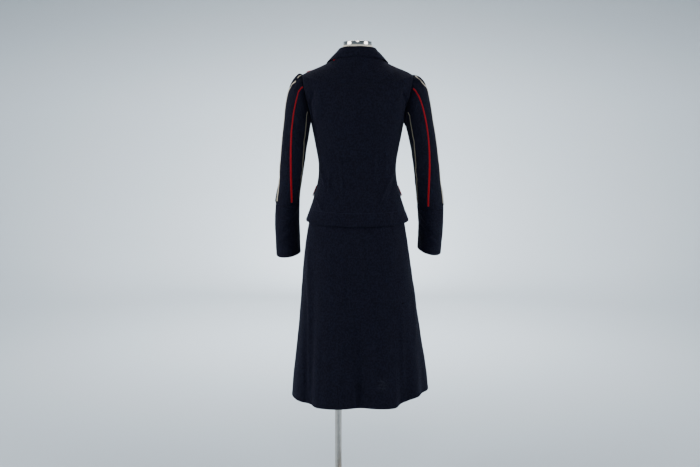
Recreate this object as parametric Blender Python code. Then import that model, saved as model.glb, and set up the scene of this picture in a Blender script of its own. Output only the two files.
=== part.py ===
"""A knitted two-piece suit, jacket and skirt, on a limbless dress form with a steel stand.

Metres, +Z up. The origin is on the floor, under the middle of the stand's base. The suit
faces -Y, and the wearer's left is +X. Each cloth panel is a wall of knitted cloth that is
worked out from the sizes below, and each piece is one closed solid.
"""

import math

import bmesh
import bpy
import numpy as np
from mathutils import Vector


def columns(names, rows):
    """A table as named columns, one row for each section."""
    return dict(zip(names.split(), np.array(rows, float).T))


# Cloth and seams
WALL = 0.002
BAND_WALL = 0.003
SEAM_GAP = 0.0003
INNER_RIM_INSET = 0.0003
BRAID_WIDTH = 0.0056
BRAID_THICKNESS = 0.0011
BRAID_LIFT = 0.0010

# Heights of the jacket's main points
HEM_HEIGHT = 0.9615
UNDERARM_HEIGHT = 1.2875
SHOULDER_HEIGHT = 1.4505
NECK_HEIGHT = 1.5115
ARMHOLE_HALF_DEPTH = 0.054
ARMHOLE_FADE = 1.5
SHARP_EDGE = math.radians(40)

# Jacket body, a row for each level. height is the level at the side, and the drops say how
# far the row falls to the centre back and centre front: straight down from the side where
# drop_power is small. A roundness under 1 is boxier than an ellipse.
TORSO = columns(
    "height half_width back front back_drop front_drop drop_power roundness",
    [
        (0.9615, 0.1760, 0.1390, 0.1300, 0.0165, 0.007, 0.75, 0.84),
        (0.9960, 0.1630, 0.1320, 0.1250, 0.0120, 0.004, 1.00, 0.84),
        (1.0325, 0.1505, 0.1230, 0.1190, 0.0070, 0.002, 1.40, 0.84),
        (1.0605, 0.1430, 0.1140, 0.1140, 0.0030, 0.000, 2.00, 0.84),
        (1.0875, 0.1362, 0.1040, 0.1090, 0.0000, 0.000, 2.00, 0.84),
        (1.1135, 0.1320, 0.0965, 0.1065, 0.0000, 0.000, 2.00, 0.84),
        (1.1375, 0.1312, 0.0930, 0.1070, 0.0000, 0.000, 2.00, 0.84),
        (1.1640, 0.1340, 0.0940, 0.1100, 0.0000, 0.000, 2.00, 0.84),
        (1.1970, 0.1398, 0.0990, 0.1165, 0.0000, 0.000, 2.00, 0.84),
        (1.2300, 0.1460, 0.1050, 0.1240, 0.0000, 0.000, 2.00, 0.84),
        (1.2640, 0.1528, 0.1095, 0.1290, 0.0000, 0.000, 2.00, 0.85),
        (1.2875, 0.1575, 0.1115, 0.1300, 0.0000, 0.000, 2.00, 0.88),
        (1.3360, 0.1652, 0.1130, 0.1270, 0.0040, 0.004, 2.00, 1.05),
        (1.3950, 0.1778, 0.1095, 0.1140, 0.0140, 0.014, 2.00, 1.10),
        (1.4250, 0.1835, 0.1030, 0.1050, 0.0240, 0.026, 2.00, 1.00),
        (1.4505, 0.1850, 0.0935, 0.0960, 0.0350, 0.042, 2.00, 0.90),
        (1.4590, 0.1710, 0.0900, 0.0920, 0.0310, 0.044, 2.00, 0.90),
        (1.4710, 0.1390, 0.0815, 0.0850, 0.0240, 0.046, 2.00, 0.90),
        (1.4875, 0.1035, 0.0690, 0.0715, 0.0100, 0.046, 2.00, 0.92),
        (1.5115, 0.0665, 0.0570, 0.0600, -0.0030, 0.043, 2.00, 0.95),
    ],
)

# Bust fullness of each front
BUST = {"across": 0.080, "height": 1.275, "fullness": 0.012, "width": 0.038, "tall": 0.052}

# Drape folds of the jacket's back: a line from one end to the other, as seen from behind,
# with its depth (negative goes in) and its half-width
BACK_FOLDS = columns(
    "x_top z_top x_low z_low depth width",
    [
        (0.146, 1.400, 0.150, 1.300, -0.0080, 0.0100),
        (0.128, 1.393, 0.134, 1.315, 0.0040, 0.0110),
        (-0.157, 1.397, -0.145, 1.298, -0.0085, 0.0105),
        (-0.136, 1.393, -0.127, 1.315, 0.0040, 0.0110),
        (0.122, 1.139, 0.103, 1.064, 0.0034, 0.0100),
        (0.130, 1.055, 0.108, 0.996, 0.0036, 0.0110),
        (-0.119, 1.129, -0.070, 1.006, 0.0040, 0.0110),
        (0.052, 1.153, 0.034, 1.025, -0.0016, 0.0100),
        (-0.060, 1.188, -0.052, 1.050, -0.0016, 0.0100),
    ],
)
FOLD_END_FADE = 0.3
FRONT_FOLDS = columns(
    "x_top z_top x_low z_low depth width",
    [
        (0.133, 1.390, 0.138, 1.310, -0.0060, 0.0105),
        (0.116, 1.149, 0.094, 1.069, 0.0032, 0.0105),
        (0.106, 1.227, 0.119, 1.138, -0.0025, 0.0110),
    ],
)

# Jacket fronts: they button over each other up to where the edges part
FRONT_EDGE = columns(
    "height edge", [(0.940, -0.018), (1.375, -0.018), (1.403, 0.0025), (1.512, 0.0045)]
)
OVERLAP_LIFT = 0.0030
OVERLAP_START, OVERLAP_FULL = 0.052, 0.024
OVERLAP_TOP, OVERLAP_FADE = 1.425, 0.025
BACK_COLUMNS, FRONT_COLUMNS = 23, 12
BODY_LEVELS, ARMHOLE_LEVELS, YOKE_LEVELS = 11, 8, 5

# Arms, a row for each section from the armhole down to the cuff's end: the outer and inner
# side as they show from behind, the middle's place front to back, and the half-depth. The
# sleeve ends and the cuff starts on row CUFF_ROW.
ARM_LEFT = columns(
    "x_out z_out x_in z_in y depth",
    [
        (0.1890, 1.4575, 0.1580, 1.2845, 0.000, 0.0560),
        (0.2035, 1.4470, 0.1592, 1.2815, 0.000, 0.0590),
        (0.2190, 1.4290, 0.1606, 1.2765, 0.000, 0.0610),
        (0.2325, 1.4000, 0.1622, 1.2660, 0.001, 0.0615),
        (0.2415, 1.3600, 0.1640, 1.2500, 0.002, 0.0605),
        (0.2480, 1.3080, 0.1680, 1.2290, 0.003, 0.0590),
        (0.2545, 1.2450, 0.1725, 1.2000, 0.005, 0.0570),
        (0.2605, 1.1780, 0.1785, 1.1580, 0.005, 0.0550),
        (0.2665, 1.1180, 0.1855, 1.1130, 0.002, 0.0530),
        (0.2708, 1.0640, 0.1935, 1.0640, -0.006, 0.0510),
        (0.2795, 1.0160, 0.1985, 1.0200, -0.017, 0.0500),
        (0.2830, 0.9720, 0.2005, 0.9770, -0.028, 0.0495),
        (0.2845, 0.9130, 0.2005, 0.9200, -0.045, 0.0480),
        (0.2820, 0.8305, 0.1985, 0.8425, -0.066, 0.0460),
    ],
)
ARM_RIGHT = columns(
    "x_out z_out x_in z_in y depth",
    [
        (0.1960, 1.4510, 0.1585, 1.2845, 0.000, 0.0560),
        (0.2120, 1.4405, 0.1610, 1.2815, 0.000, 0.0590),
        (0.2265, 1.4240, 0.1640, 1.2765, 0.000, 0.0610),
        (0.2370, 1.3980, 0.1672, 1.2660, 0.001, 0.0615),
        (0.2455, 1.3585, 0.1710, 1.2500, 0.002, 0.0605),
        (0.2545, 1.3080, 0.1760, 1.2290, 0.003, 0.0590),
        (0.2640, 1.2500, 0.1815, 1.2020, 0.005, 0.0570),
        (0.2735, 1.1800, 0.1880, 1.1600, 0.005, 0.0550),
        (0.2818, 1.1160, 0.1940, 1.1140, 0.001, 0.0530),
        (0.2888, 1.0580, 0.2000, 1.0600, -0.009, 0.0510),
        (0.2965, 1.0040, 0.2070, 1.0040, -0.022, 0.0500),
        (0.2970, 0.9560, 0.2120, 0.9600, -0.034, 0.0495),
        (0.2965, 0.8980, 0.2135, 0.9100, -0.051, 0.0480),
        (0.2930, 0.8385, 0.2120, 0.8585, -0.068, 0.0460),
    ],
)
CUFF_ROW = 10
CUFF_ROWS = (11, 12, 13)
HEAD_EASE = 0.002
HEAD_END_ROW = 0.7
AXIS_STEP = 0.2
CUFF_PROUD = 0.0012
SLEEVE_ROWS = (0, 0.25, 0.6, 1.0, 1.55, 2.2, 3.0, 4.0, 5.0, 6.0, 7.0, 8.0, 9.0, 10.0)
ARM_COLUMNS = 28

# Gathers of a sleeve's head: fine folds over the top that fade out down the sleeve
HEAD_GATHERS = 10
GATHER_SHARE = 0.037
GATHER_START_ROW, GATHER_END_ROW = 0.5, 2.6
GATHER_SPREAD = math.radians(80)

# Braid stripes of each sleeve: the angle round it from the outer side (0) over the back, at
# STRIPE_MARK_ROWS from the armhole down to the cuff
STRIPES = {
    "centre_cream": {"left": (18, 34, 11, 4, 31), "right": (11, 32, 6, 4, 17)},
    "back_red": {"left": (62, 66, 71, 73, 113), "right": (64, 71, 69, 66, 104)},
    "back_cream": {"left": (122, 126, 131, 138, 170), "right": (122, 126, 130, 135, 162)},
    "front_red": {"left": (-62, -63, -65, -66, -60), "right": (-62, -63, -65, -66, -60)},
    "front_cream": {"left": (-122, -125, -127, -130, -132), "right": (-122, -125, -127, -130, -132)},
}
STRIPE_MARK_ROWS = (0, 1.6, 3, 5, 10)
STRIPE_START_ROW, STRIPE_END_ROW = 0.35, 9.75

# Collar, a row for each turn from the back (0) to the front (180 degrees): the level of its
# edge on the body, the rise of its fold over the neck seam, and the fold's inset
COLLAR = columns(
    "turn edge rise inset",
    [
        (0, 1.5075, 0.0245, 0.0020),
        (45, 1.5030, 0.0250, 0.0040),
        (62, 1.4985, 0.0245, 0.0050),
        (90, 1.4900, 0.0235, 0.0060),
        (135, 1.4765, 0.0200, 0.0040),
        (172, 1.4620, 0.0150, 0.0020),
    ],
)
COLLAR_LIFT = 0.0009
COLLAR_END = 172
COLLAR_PIPING_END = {"left": 52, "right": 78}
COLLAR_PIPING_LIFT = 0.0004
FALL_BULGE = 0.0012
FOLD_WIDTH, FOLD_DROP = 0.0028, 0.0035
STAND_FOOT = 0.0006
COLLAR_COLUMNS = 33
FALL_ROWS = (0, 0.35, 0.7)
INSIDE_SHARE = (0.8, 0.7)

# Skirt, a row for each level. centre is how far it hangs towards the wearer's left.
SKIRT = columns(
    "height centre half_width back front roundness",
    [
        (0.3580, -0.0105, 0.2365, 0.2010, 0.1920, 0.74),
        (0.3900, -0.0105, 0.2345, 0.1985, 0.1895, 0.74),
        (0.5100, -0.0077, 0.2190, 0.1850, 0.1760, 0.77),
        (0.5830, -0.0062, 0.2097, 0.1760, 0.1670, 0.78),
        (0.6900, -0.0027, 0.1967, 0.1640, 0.1550, 0.80),
        (0.8050, 0.0007, 0.1850, 0.1510, 0.1410, 0.83),
        (0.8800, 0.0020, 0.1762, 0.1400, 0.1290, 0.84),
        (0.9460, 0.0022, 0.1632, 0.1275, 0.1180, 0.84),
        (0.9960, 0.0010, 0.1540, 0.1210, 0.1135, 0.84),
        (1.0325, 0.0000, 0.1442, 0.1145, 0.1095, 0.84),
        (1.0795, 0.0000, 0.1300, 0.0990, 0.1035, 0.84),
        (1.1085, 0.0000, 0.1272, 0.0915, 0.1015, 0.84),
        (1.1430, 0.0000, 0.1268, 0.0890, 0.1020, 0.84),
    ],
)
SKIRT_HEM, SKIRT_TOP, BAND_TOP = 0.358, 1.1085, 1.1410

# Level of the skirt's hem round it, and how far up its rise and fall are felt
SKIRT_EDGE = columns(
    "angle level",
    [
        (0, 0.3580),
        (20, 0.3560),
        (40, 0.3470),
        (55, 0.3440),
        (90, 0.3460),
        (121, 0.3465),
        (131, 0.3560),
        (140, 0.3680),
        (150, 0.3740),
        (180, 0.3780),
        (200, 0.3720),
        (240, 0.3610),
        (300, 0.3600),
        (360, 0.3580),
    ],
)
SKIRT_EDGE_REACH = 0.45

# Folds of the skirt: the angle round it, the depth and half-width at the hem, and the
# height at which each one starts. A growth over 1 keeps a fold shallow at its start.
SKIRT_FOLDS = columns(
    "angle depth width start",
    [
        (39, 0.022, 7.0, 0.91),
        (90, 0.026, 13.0, 0.70),
        (131, 0.024, 8.0, 0.68),
        (158, 0.012, 7.0, 0.58),
        (216, 0.022, 10.0, 0.74),
        (258, 0.020, 11.0, 0.66),
        (296, 0.026, 12.0, 0.72),
        (336, 0.018, 9.0, 0.70),
    ],
)
SKIRT_FOLD_GROWTH = 1.3
SKIRT_LEVELS = (SKIRT_HEM, 0.43, 0.51, 0.59, 0.67, 0.75, 0.83, 0.91, 0.99, 1.05, SKIRT_TOP)
SKIRT_COLUMNS, BAND_COLUMNS = 29, 40

# Pocket flaps, on the fronts next to the side seams, with red piping along their edge
FLAP_TOP, FLAP_BOTTOM = 1.0735, 1.0400
FLAP_START, FLAP_END = 10, 56
FLAP_LIFT = 0.0008
FLAP_FLARE, FLAP_FLARE_INNER, FLAP_FLARE_ANGLE = 0.0048, 0.35, 30
FLAP_COLUMNS = 8
PIPING_WIDTH = 0.0030

# Shoulder piping, in front of each shoulder seam, between the collar and the armhole
SHOULDER_PIPING_START, SHOULDER_PIPING_END = 1.4835, 1.4565
SHOULDER_PIPING_ANGLES = (5.0, 2.6)
SHOULDER_PIPING_ROWS = 5

BUTTON_LEVELS = (1.384, 1.304, 1.225, 1.146, 1.067)
BUTTON_RADIUS, BUTTON_THICKNESS, BUTTON_EDGE = 0.0105, 0.0040, 0.0010
BUTTON_LIFT = 0.0006

# Dress form, a row for each level, drawn in from the cloth except where it carries it: at
# the shoulders and at the skirt's waistband
FORM = columns(
    "height half_width back front back_drop front_drop roundness",
    [
        (0.8250, 0.1500, 0.1120, 0.1060, 0.000, 0.000, 0.86),
        (0.8800, 0.1545, 0.1170, 0.1090, 0.000, 0.000, 0.86),
        (0.9460, 0.1520, 0.1165, 0.1080, 0.000, 0.000, 0.86),
        (0.9960, 0.1430, 0.1110, 0.1040, 0.000, 0.000, 0.86),
        (1.0325, 0.1335, 0.1040, 0.1000, 0.000, 0.000, 0.86),
        (1.0745, 0.1245, 0.0915, 0.0965, 0.000, 0.000, 0.85),
        (1.1075, 0.1236, 0.0879, 0.0980, 0.000, 0.000, 0.84),
        (1.1420, 0.1232, 0.0855, 0.0985, 0.000, 0.000, 0.84),
        (1.1640, 0.1262, 0.0865, 0.1020, 0.000, 0.000, 0.86),
        (1.2300, 0.1375, 0.0960, 0.1140, 0.000, 0.000, 0.86),
        (1.2875, 0.1470, 0.1020, 0.1190, 0.000, 0.000, 0.88),
        (1.3360, 0.1520, 0.1040, 0.1170, 0.004, 0.004, 1.05),
        (1.3950, 0.1610, 0.1000, 0.1040, 0.014, 0.014, 1.10),
        (1.4250, 0.1650, 0.0930, 0.0940, 0.024, 0.026, 1.00),
        (1.4460, 0.1660, 0.0850, 0.0870, 0.032, 0.038, 0.90),
        (1.4563, 0.1620, 0.0830, 0.0860, 0.029, 0.043, 0.90),
        (1.4683, 0.1385, 0.0785, 0.0815, 0.024, 0.046, 0.90),
        (1.4848, 0.1028, 0.0660, 0.0680, 0.010, 0.046, 0.92),
        (1.5030, 0.0715, 0.0580, 0.0585, -0.001, 0.044, 0.95),
        (1.5130, 0.0590, 0.0528, 0.0525, 0.000, 0.030, 1.00),
        (1.5290, 0.0520, 0.0512, 0.0508, 0.000, 0.008, 1.00),
        (1.5465, 0.0510, 0.0510, 0.0510, 0.000, 0.000, 1.00),
    ],
)
FORM_SIDE_ANGLE, FORM_ARMHOLE, FORM_COLUMNS = 7, 0.75, 16
CAP_RADIUS, CAP_THICKNESS, CAP_EDGE = 0.0480, 0.0130, 0.0020
POLE_X, POLE_RADIUS = 0.065, 0.012
FLANGE_RADIUS, FLANGE_THICKNESS = 0.042, 0.008
SOCKET_RADIUS, SOCKET_HEIGHT = 0.0185, 0.045
BASE_RADIUS, BASE_THICKNESS, BASE_EDGE = 0.170, 0.010, 0.0025
HUB_RADIUS, HUB_TOP = 0.0210, 0.034

NAVY = (0.016, 0.020, 0.036)
NAVY_LIGHT = (0.022, 0.027, 0.046)
RED = (0.42, 0.018, 0.022)
CREAM = (0.72, 0.66, 0.52)
JERSEY = (0.83, 0.78, 0.67)
STEEL = (0.56, 0.56, 0.55)


def clear_scene():
    for item in list(bpy.data.objects):
        bpy.data.objects.remove(item, do_unlink=True)


def finish(name, colour, roughness=0.9, metallic=0.0):
    """A Principled BSDF material in one colour."""
    material = bpy.data.materials.get(name) or bpy.data.materials.new(name)
    material.use_nodes = True
    shader = material.node_tree.nodes["Principled BSDF"]
    shader.inputs["Base Color"].default_value = (*colour, 1.0)
    shader.inputs["Roughness"].default_value = roughness
    shader.inputs["Metallic"].default_value = metallic
    return material


def through(keys, values, at):
    """A smooth curve through the values at the keys, which never overshoots them."""
    at = np.clip(np.asarray(at, float), keys[0], keys[-1])
    step = np.diff(keys)
    slope = np.diff(values) / step
    before, after = slope[:-1], slope[1:]
    same_way = before * after > 0
    total = np.where(same_way, before + after, 1.0)
    inner = np.where(same_way, 2 * before * after / total, 0.0)
    tangent = np.concatenate([slope[:1], inner, slope[-1:]])
    i = np.clip(np.searchsorted(keys, at, side="right") - 1, 0, len(step) - 1)
    t = (at - keys[i]) / step[i]
    start = (1 + 2 * t) * (1 - t) ** 2 * values[i]
    end = t * t * (3 - 2 * t) * values[i + 1]
    bend = t * (1 - t) ** 2 * tangent[i] + t * t * (t - 1) * tangent[i + 1]
    return start + end + bend * step[i]


def read(table, name, at, key="height"):
    return through(table[key], table[name], at)


def ease(t):
    t = np.clip(t, 0.0, 1.0)
    return t * t * (3 - 2 * t)


def fold_relief(folds, x, z):
    """The height of the drape folds at points seen from the front or the back."""
    relief = np.zeros(np.broadcast(x, z).shape)
    for i in range(len(folds["depth"])):
        top = np.array([folds["x_top"][i], folds["z_top"][i]])
        low = np.array([folds["x_low"][i], folds["z_low"][i]])
        run = low - top
        length = np.linalg.norm(run)
        along = ((x - top[0]) * run[0] + (z - top[1]) * run[1]) / length**2
        off = ((x - top[0]) * run[1] - (z - top[1]) * run[0]) / length
        ends = ease(along / FOLD_END_FADE + 0.5) * ease((1 - along) / FOLD_END_FADE + 0.5)
        relief += folds["depth"][i] * np.exp(-((off / folds["width"][i]) ** 2)) * ends
    return relief


def armhole_depth(height):
    """Half the armhole's opening front to back, nought at the underarm and the shoulder."""
    t = (np.asarray(height, float) - UNDERARM_HEIGHT) / (SHOULDER_HEIGHT - UNDERARM_HEIGHT)
    t = np.clip(t, 0.0, 1.0)
    return 2 * ARMHOLE_HALF_DEPTH * np.sqrt(t * (1 - t))


def bust(x, z):
    """How far the bust stands out at points of the front."""
    mound = ((np.abs(x) - BUST["across"]) / BUST["width"]) ** 2
    return BUST["fullness"] * np.exp(-mound - ((z - BUST["height"]) / BUST["tall"]) ** 2)


def torso(side, angle, height, folds=True):
    """A point of the jacket body. side is 1 at the back and -1 at the front, and angle runs
    from the left side seam, 0, to the right one, 180 degrees."""
    angle, height = np.broadcast_arrays(np.asarray(angle, float), np.asarray(height, float))
    across, deep = np.cos(angle), np.abs(np.sin(angle))
    half_depth = read(TORSO, "back" if side > 0 else "front", height)
    drop = read(TORSO, "back_drop" if side > 0 else "front_drop", height)
    x = read(TORSO, "half_width", height) * across
    y = half_depth * deep ** read(TORSO, "roundness", height)
    y = y + armhole_depth(height) * (1 - deep) ** ARMHOLE_FADE
    z = height - drop * deep ** read(TORSO, "drop_power", height)
    if side < 0:
        y = y + bust(x, z)
    if folds and side > 0:
        relief = fold_relief(BACK_FOLDS, x, z)
    elif folds:
        relief = fold_relief(FRONT_FOLDS, np.abs(x), z)
    if folds:
        x = x + relief * across * (1 - deep)
        y = y + relief * deep
    return np.stack([x, side * y, z], -1)


def skirt(angle, height):
    """A point of the skirt. angle runs from the left side seam over the back, in full turn."""
    angle, height = np.broadcast_arrays(np.asarray(angle, float), np.asarray(height, float))
    across, deep = np.cos(angle), np.sin(angle)
    back, front = read(SKIRT, "back", height), read(SKIRT, "front", height)
    y = np.sign(deep) * np.where(deep > 0, back, front)
    y = y * np.abs(deep) ** read(SKIRT, "roundness", height)
    x = read(SKIRT, "half_width", height) * across
    pull = np.zeros(angle.shape)
    for i in range(len(SKIRT_FOLDS["angle"])):
        turn = np.degrees(angle) - SKIRT_FOLDS["angle"][i]
        turn = (turn + 180) % 360 - 180
        start = SKIRT_FOLDS["start"][i]
        fall = np.clip((start - height) / (start - SKIRT_HEM), 0, 1) ** SKIRT_FOLD_GROWTH
        pull += SKIRT_FOLDS["depth"][i] * fall * np.exp(-((turn / SKIRT_FOLDS["width"][i]) ** 2))
    reach = np.hypot(x, y)
    x, y = x * (1 - pull / reach), y * (1 - pull / reach)
    edge = read(SKIRT_EDGE, "level", np.degrees(angle) % 360, "angle") - SKIRT_HEM
    rise = edge * np.clip(1 - (height - SKIRT_HEM) / SKIRT_EDGE_REACH, 0, 1)
    return np.stack([x + read(SKIRT, "centre", height), y, height + rise], -1)


def armhole(phi):
    """A point of the armhole's edge. phi is 0 at the shoulder, 90 degrees at the back."""
    middle = (SHOULDER_HEIGHT + UNDERARM_HEIGHT) / 2
    half = (SHOULDER_HEIGHT - UNDERARM_HEIGHT) / 2
    z = middle + half * np.cos(phi)
    return np.stack([read(TORSO, "half_width", z), ARMHOLE_HALF_DEPTH * np.sin(phi), z], -1)


def gathers(phi, row):
    """The share by which a sleeve's head swells or sinks, over its top and near its seam."""
    turn = np.clip(np.abs((phi + np.pi) % (2 * np.pi) - np.pi) / GATHER_SPREAD, 0, 1)
    top = np.cos(turn * np.pi / 2)
    fade = ease(1 - row / GATHER_END_ROW) * ease(row / GATHER_START_ROW)
    return GATHER_SHARE * np.cos(HEAD_GATHERS * phi) * top * fade


def arm_sides(table, row):
    """The outer and the inner side of an arm at a row of its table."""
    rows = np.arange(len(table["depth"]), dtype=float)
    x_out, z_out, x_in, z_in, y = (
        through(rows, table[name], row) for name in ("x_out", "z_out", "x_in", "z_in", "y")
    )
    return np.stack([x_out, y, z_out], -1), np.stack([x_in, y, z_in], -1)


def arm(table, phi, row, proud=0.0):
    """A point of an arm, as on the left one. phi is 0 at the outer side and 90 degrees at
    the back. The sleeve starts in the armhole's own outline, and is gathered there."""
    phi, row = np.broadcast_arrays(np.asarray(phi, float), np.asarray(row, float))
    rows = np.arange(len(table["depth"]), dtype=float)
    outer, inner = arm_sides(table, row)
    outer_up, inner_up = arm_sides(table, row - AXIS_STEP)
    outer_low, inner_low = arm_sides(table, row + AXIS_STEP)
    out = (outer - inner) / 2
    back = np.cross(outer_up + inner_up - outer_low - inner_low, out)
    back = back / np.linalg.norm(back, axis=-1, keepdims=True)
    back = back * through(rows, table["depth"], row)[..., None]
    size = 1 + gathers(phi, row) + proud / np.linalg.norm(out, axis=-1)
    ring = np.cos(phi)[..., None] * out + np.sin(phi)[..., None] * back
    point = (outer + inner) / 2 + ring * size[..., None]
    hole = armhole(phi)
    middle = armhole(0.0) / 2 + armhole(np.pi) / 2
    start = hole + (middle - hole) * np.array([0.0, 1.0, 1.0]) * HEAD_EASE
    start = start + np.array([SEAM_GAP, 0.0, 0.0])
    blend = ease(row / HEAD_END_ROW)[..., None]
    return start * (1 - blend) + point * blend


def normals(grid, closed):
    """Unit normals of a grid of points whose columns run anticlockwise and rows upwards."""
    if closed:
        across = np.roll(grid, -1, 1) - np.roll(grid, 1, 1)
    else:
        across = np.gradient(grid, axis=1)
    normal = np.cross(across, np.gradient(grid, axis=0))
    return normal / np.linalg.norm(normal, axis=-1, keepdims=True)


def moved_out(grid, distance, closed=False):
    return grid + normals(grid, closed) * np.asarray(distance)[..., None]


def mirrored(grid):
    """The grid on the wearer's other side, still facing out."""
    return grid[:, ::-1] * np.array([-1.0, 1.0, 1.0])


def towards(points, others, distance):
    run = others - points
    return points + run / np.linalg.norm(run, axis=-1, keepdims=True) * distance


def add_object(name, shape, material):
    """A scene object from a bmesh, shaded smooth but for its hard edges."""
    bmesh.ops.recalc_face_normals(shape, faces=shape.faces)
    mesh = bpy.data.meshes.new(name)
    shape.to_mesh(mesh)
    shape.free()
    mesh.materials.append(material)
    mesh.shade_smooth()
    mesh.set_sharp_from_angle(angle=SHARP_EDGE)
    item = bpy.data.objects.new(name, mesh)
    bpy.context.scene.collection.objects.link(item)
    return item


def vertex_rows(shape, grid):
    return [[shape.verts.new(point) for point in row] for row in grid]


def skin(shape, rows, closed):
    """Quads between neighbouring rows of vertices."""
    for low, high in zip(rows, rows[1:]):
        for c in range(len(low) if closed else len(low) - 1):
            n = (c + 1) % len(low)
            shape.faces.new((low[c], low[n], high[n], high[c]))


def wall(name, outer, material, thickness=WALL, closed=False):
    """Cloth as a closed solid: this outer grid of points, an inner one behind it, and rims."""
    inner = outer - normals(outer, closed) * thickness
    if not closed:
        inner[:, 0] = towards(inner[:, 0], inner[:, 1], INNER_RIM_INSET)
        inner[:, -1] = towards(inner[:, -1], inner[:, -2], INNER_RIM_INSET)
    shape = bmesh.new()
    front, behind = vertex_rows(shape, outer), vertex_rows(shape, inner)
    skin(shape, front, closed)
    skin(shape, behind, closed)
    for end in (0, -1):
        skin(shape, [front[end], behind[end]], closed)
        if not closed:
            edges = [[row[end] for row in front], [row[end] for row in behind]]
            skin(shape, edges, False)
    return add_object(name, shape, material)


def turned(name, profile, place, material, steps=32, turn=None):
    """A solid turned round its own Z axis, from a profile of (radius, height) points that
    starts and ends on the axis, put at place and turned by a rotation matrix."""
    shape = bmesh.new()
    ring = [shape.verts.new((radius, 0.0, height)) for radius, height in profile]
    edges = [shape.edges.new(pair) for pair in zip(ring, ring[1:])]
    bmesh.ops.spin(
        shape, geom=ring + edges, cent=(0, 0, 0), axis=(0, 0, 1), angle=2 * math.pi, steps=steps
    )
    bmesh.ops.remove_doubles(shape, verts=shape.verts, dist=0.00001)
    if turn is not None:
        bmesh.ops.rotate(shape, verts=shape.verts, cent=(0, 0, 0), matrix=turn)
    item = add_object(name, shape, material)
    item.location = place
    return item


def sampled(grid, row, column, closed=False):
    """Points on a grid's own flat quads, at rows and columns with a fraction."""
    row, column = np.broadcast_arrays(np.asarray(row, float), np.asarray(column, float))
    if closed:
        column = column % grid.shape[1]
    r = np.clip(np.floor(row).astype(int), 0, grid.shape[0] - 2)
    c = np.floor(column).astype(int)
    c = c % grid.shape[1] if closed else np.clip(c, 0, grid.shape[1] - 2)
    n = (c + 1) % grid.shape[1]
    u, v = (column - np.floor(column) if closed else column - c)[..., None], (row - r)[..., None]
    low = grid[r, c] * (1 - u) + grid[r, n] * u
    high = grid[r + 1, c] * (1 - u) + grid[r + 1, n] * u
    return low * (1 - v) + high * v


def laid_on(grid, row, column, lift, closed=False):
    """Points on a panel's grid, moved out from it by the lift."""
    out = sampled(normals(grid, closed), row, column, closed)
    out = out / np.linalg.norm(out, axis=-1, keepdims=True)
    return sampled(grid, row, column, closed) + out * np.asarray(lift)[..., None]


def body_heights():
    """Levels of the jacket's rows, closer where the armhole turns."""
    below = np.linspace(HEM_HEIGHT, UNDERARM_HEIGHT, BODY_LEVELS)[:-1]
    turn = (1 - np.cos(np.linspace(0, math.pi, ARMHOLE_LEVELS))) / 2
    beside = UNDERARM_HEIGHT + (SHOULDER_HEIGHT - UNDERARM_HEIGHT) * turn
    above = np.linspace(SHOULDER_HEIGHT, NECK_HEIGHT, YOKE_LEVELS)[1:]
    return np.concatenate([below, beside, above])


def jacket_back(cloth):
    angles = np.linspace(0, math.pi, BACK_COLUMNS)
    grid = torso(1, angles[None, :], body_heights()[:, None])
    grid[:, 0] = towards(grid[:, 0], grid[:, 1], SEAM_GAP / 2)
    grid[:, -1] = towards(grid[:, -1], grid[:, -2], SEAM_GAP / 2)
    wall("jacket_back", grid, cloth)


def front_edge_angle(height):
    """The angle at which a front ends in the row of this height."""
    half_width = read(TORSO, "half_width", height)
    drop = read(TORSO, "front_drop", height)
    edge = 0.0 * height
    for _ in range(12):
        level = height - drop * (1 - (edge / half_width) ** 2)
        edge = read(FRONT_EDGE, "edge", level)
    return np.arccos(np.clip(edge / half_width, -1, 1))


def front_grid(lifted):
    """The left front, from its closing edge to the side seam. A lifted one is worn on top."""
    heights = body_heights()
    share = np.linspace(1, 0, FRONT_COLUMNS)
    grid = torso(-1, share[None, :] * front_edge_angle(heights)[:, None], heights[:, None])
    if lifted:
        rise = ease((OVERLAP_START - grid[..., 0]) / (OVERLAP_START - OVERLAP_FULL))
        rise = rise * ease((OVERLAP_TOP - grid[..., 2]) / OVERLAP_FADE)
        grid = moved_out(grid, OVERLAP_LIFT * rise)
    grid[:, -1] = towards(grid[:, -1], grid[:, -2], SEAM_GAP / 2)
    return grid


def put(side, grid):
    """The grid as it is on the left, or mirrored on the right."""
    return grid if side == "left" else mirrored(grid)


def jacket_fronts(cloth, red):
    for side in ("left", "right"):
        grid = front_grid(lifted=side == "right")
        wall(f"jacket_front_{side}", put(side, grid), cloth)
        pocket_flap(side, grid, cloth, red)
        shoulder_piping(side, grid, red)


def grid_row(height):
    """The row of the jacket's grid at a height, with its fraction."""
    heights = body_heights()
    return np.interp(height, heights, np.arange(len(heights)))


def front_column(angle, height):
    """The column of a front's grid at an angle from the side seam."""
    last = front_edge_angle(np.asarray(height, float))
    return (1 - np.radians(angle) / last) * (FRONT_COLUMNS - 1)


def pocket_flap(side, front, cloth, red):
    heights = np.array([FLAP_BOTTOM, (FLAP_BOTTOM + FLAP_TOP) / 2, FLAP_TOP])[:, None]
    angles = np.linspace(FLAP_END, FLAP_START, FLAP_COLUMNS)[None, :]
    down = (FLAP_TOP - heights) / (FLAP_TOP - FLAP_BOTTOM)
    beside = ease(1 - (angles - FLAP_START) / FLAP_FLARE_ANGLE)
    flare = FLAP_FLARE_INNER + (1 - FLAP_FLARE_INNER) * beside
    lift = FLAP_LIFT + WALL + FLAP_FLARE * down * flare
    grid = laid_on(front, grid_row(heights), front_column(angles, heights), lift)
    wall(f"pocket_flap_{side}", put(side, grid), cloth)
    edge = [grid[-1, 0], grid[1, 0], *grid[0], grid[1, -1], grid[-1, -1]]
    piping(f"flap_piping_{side}", side, np.array(edge), grid, red)


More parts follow.
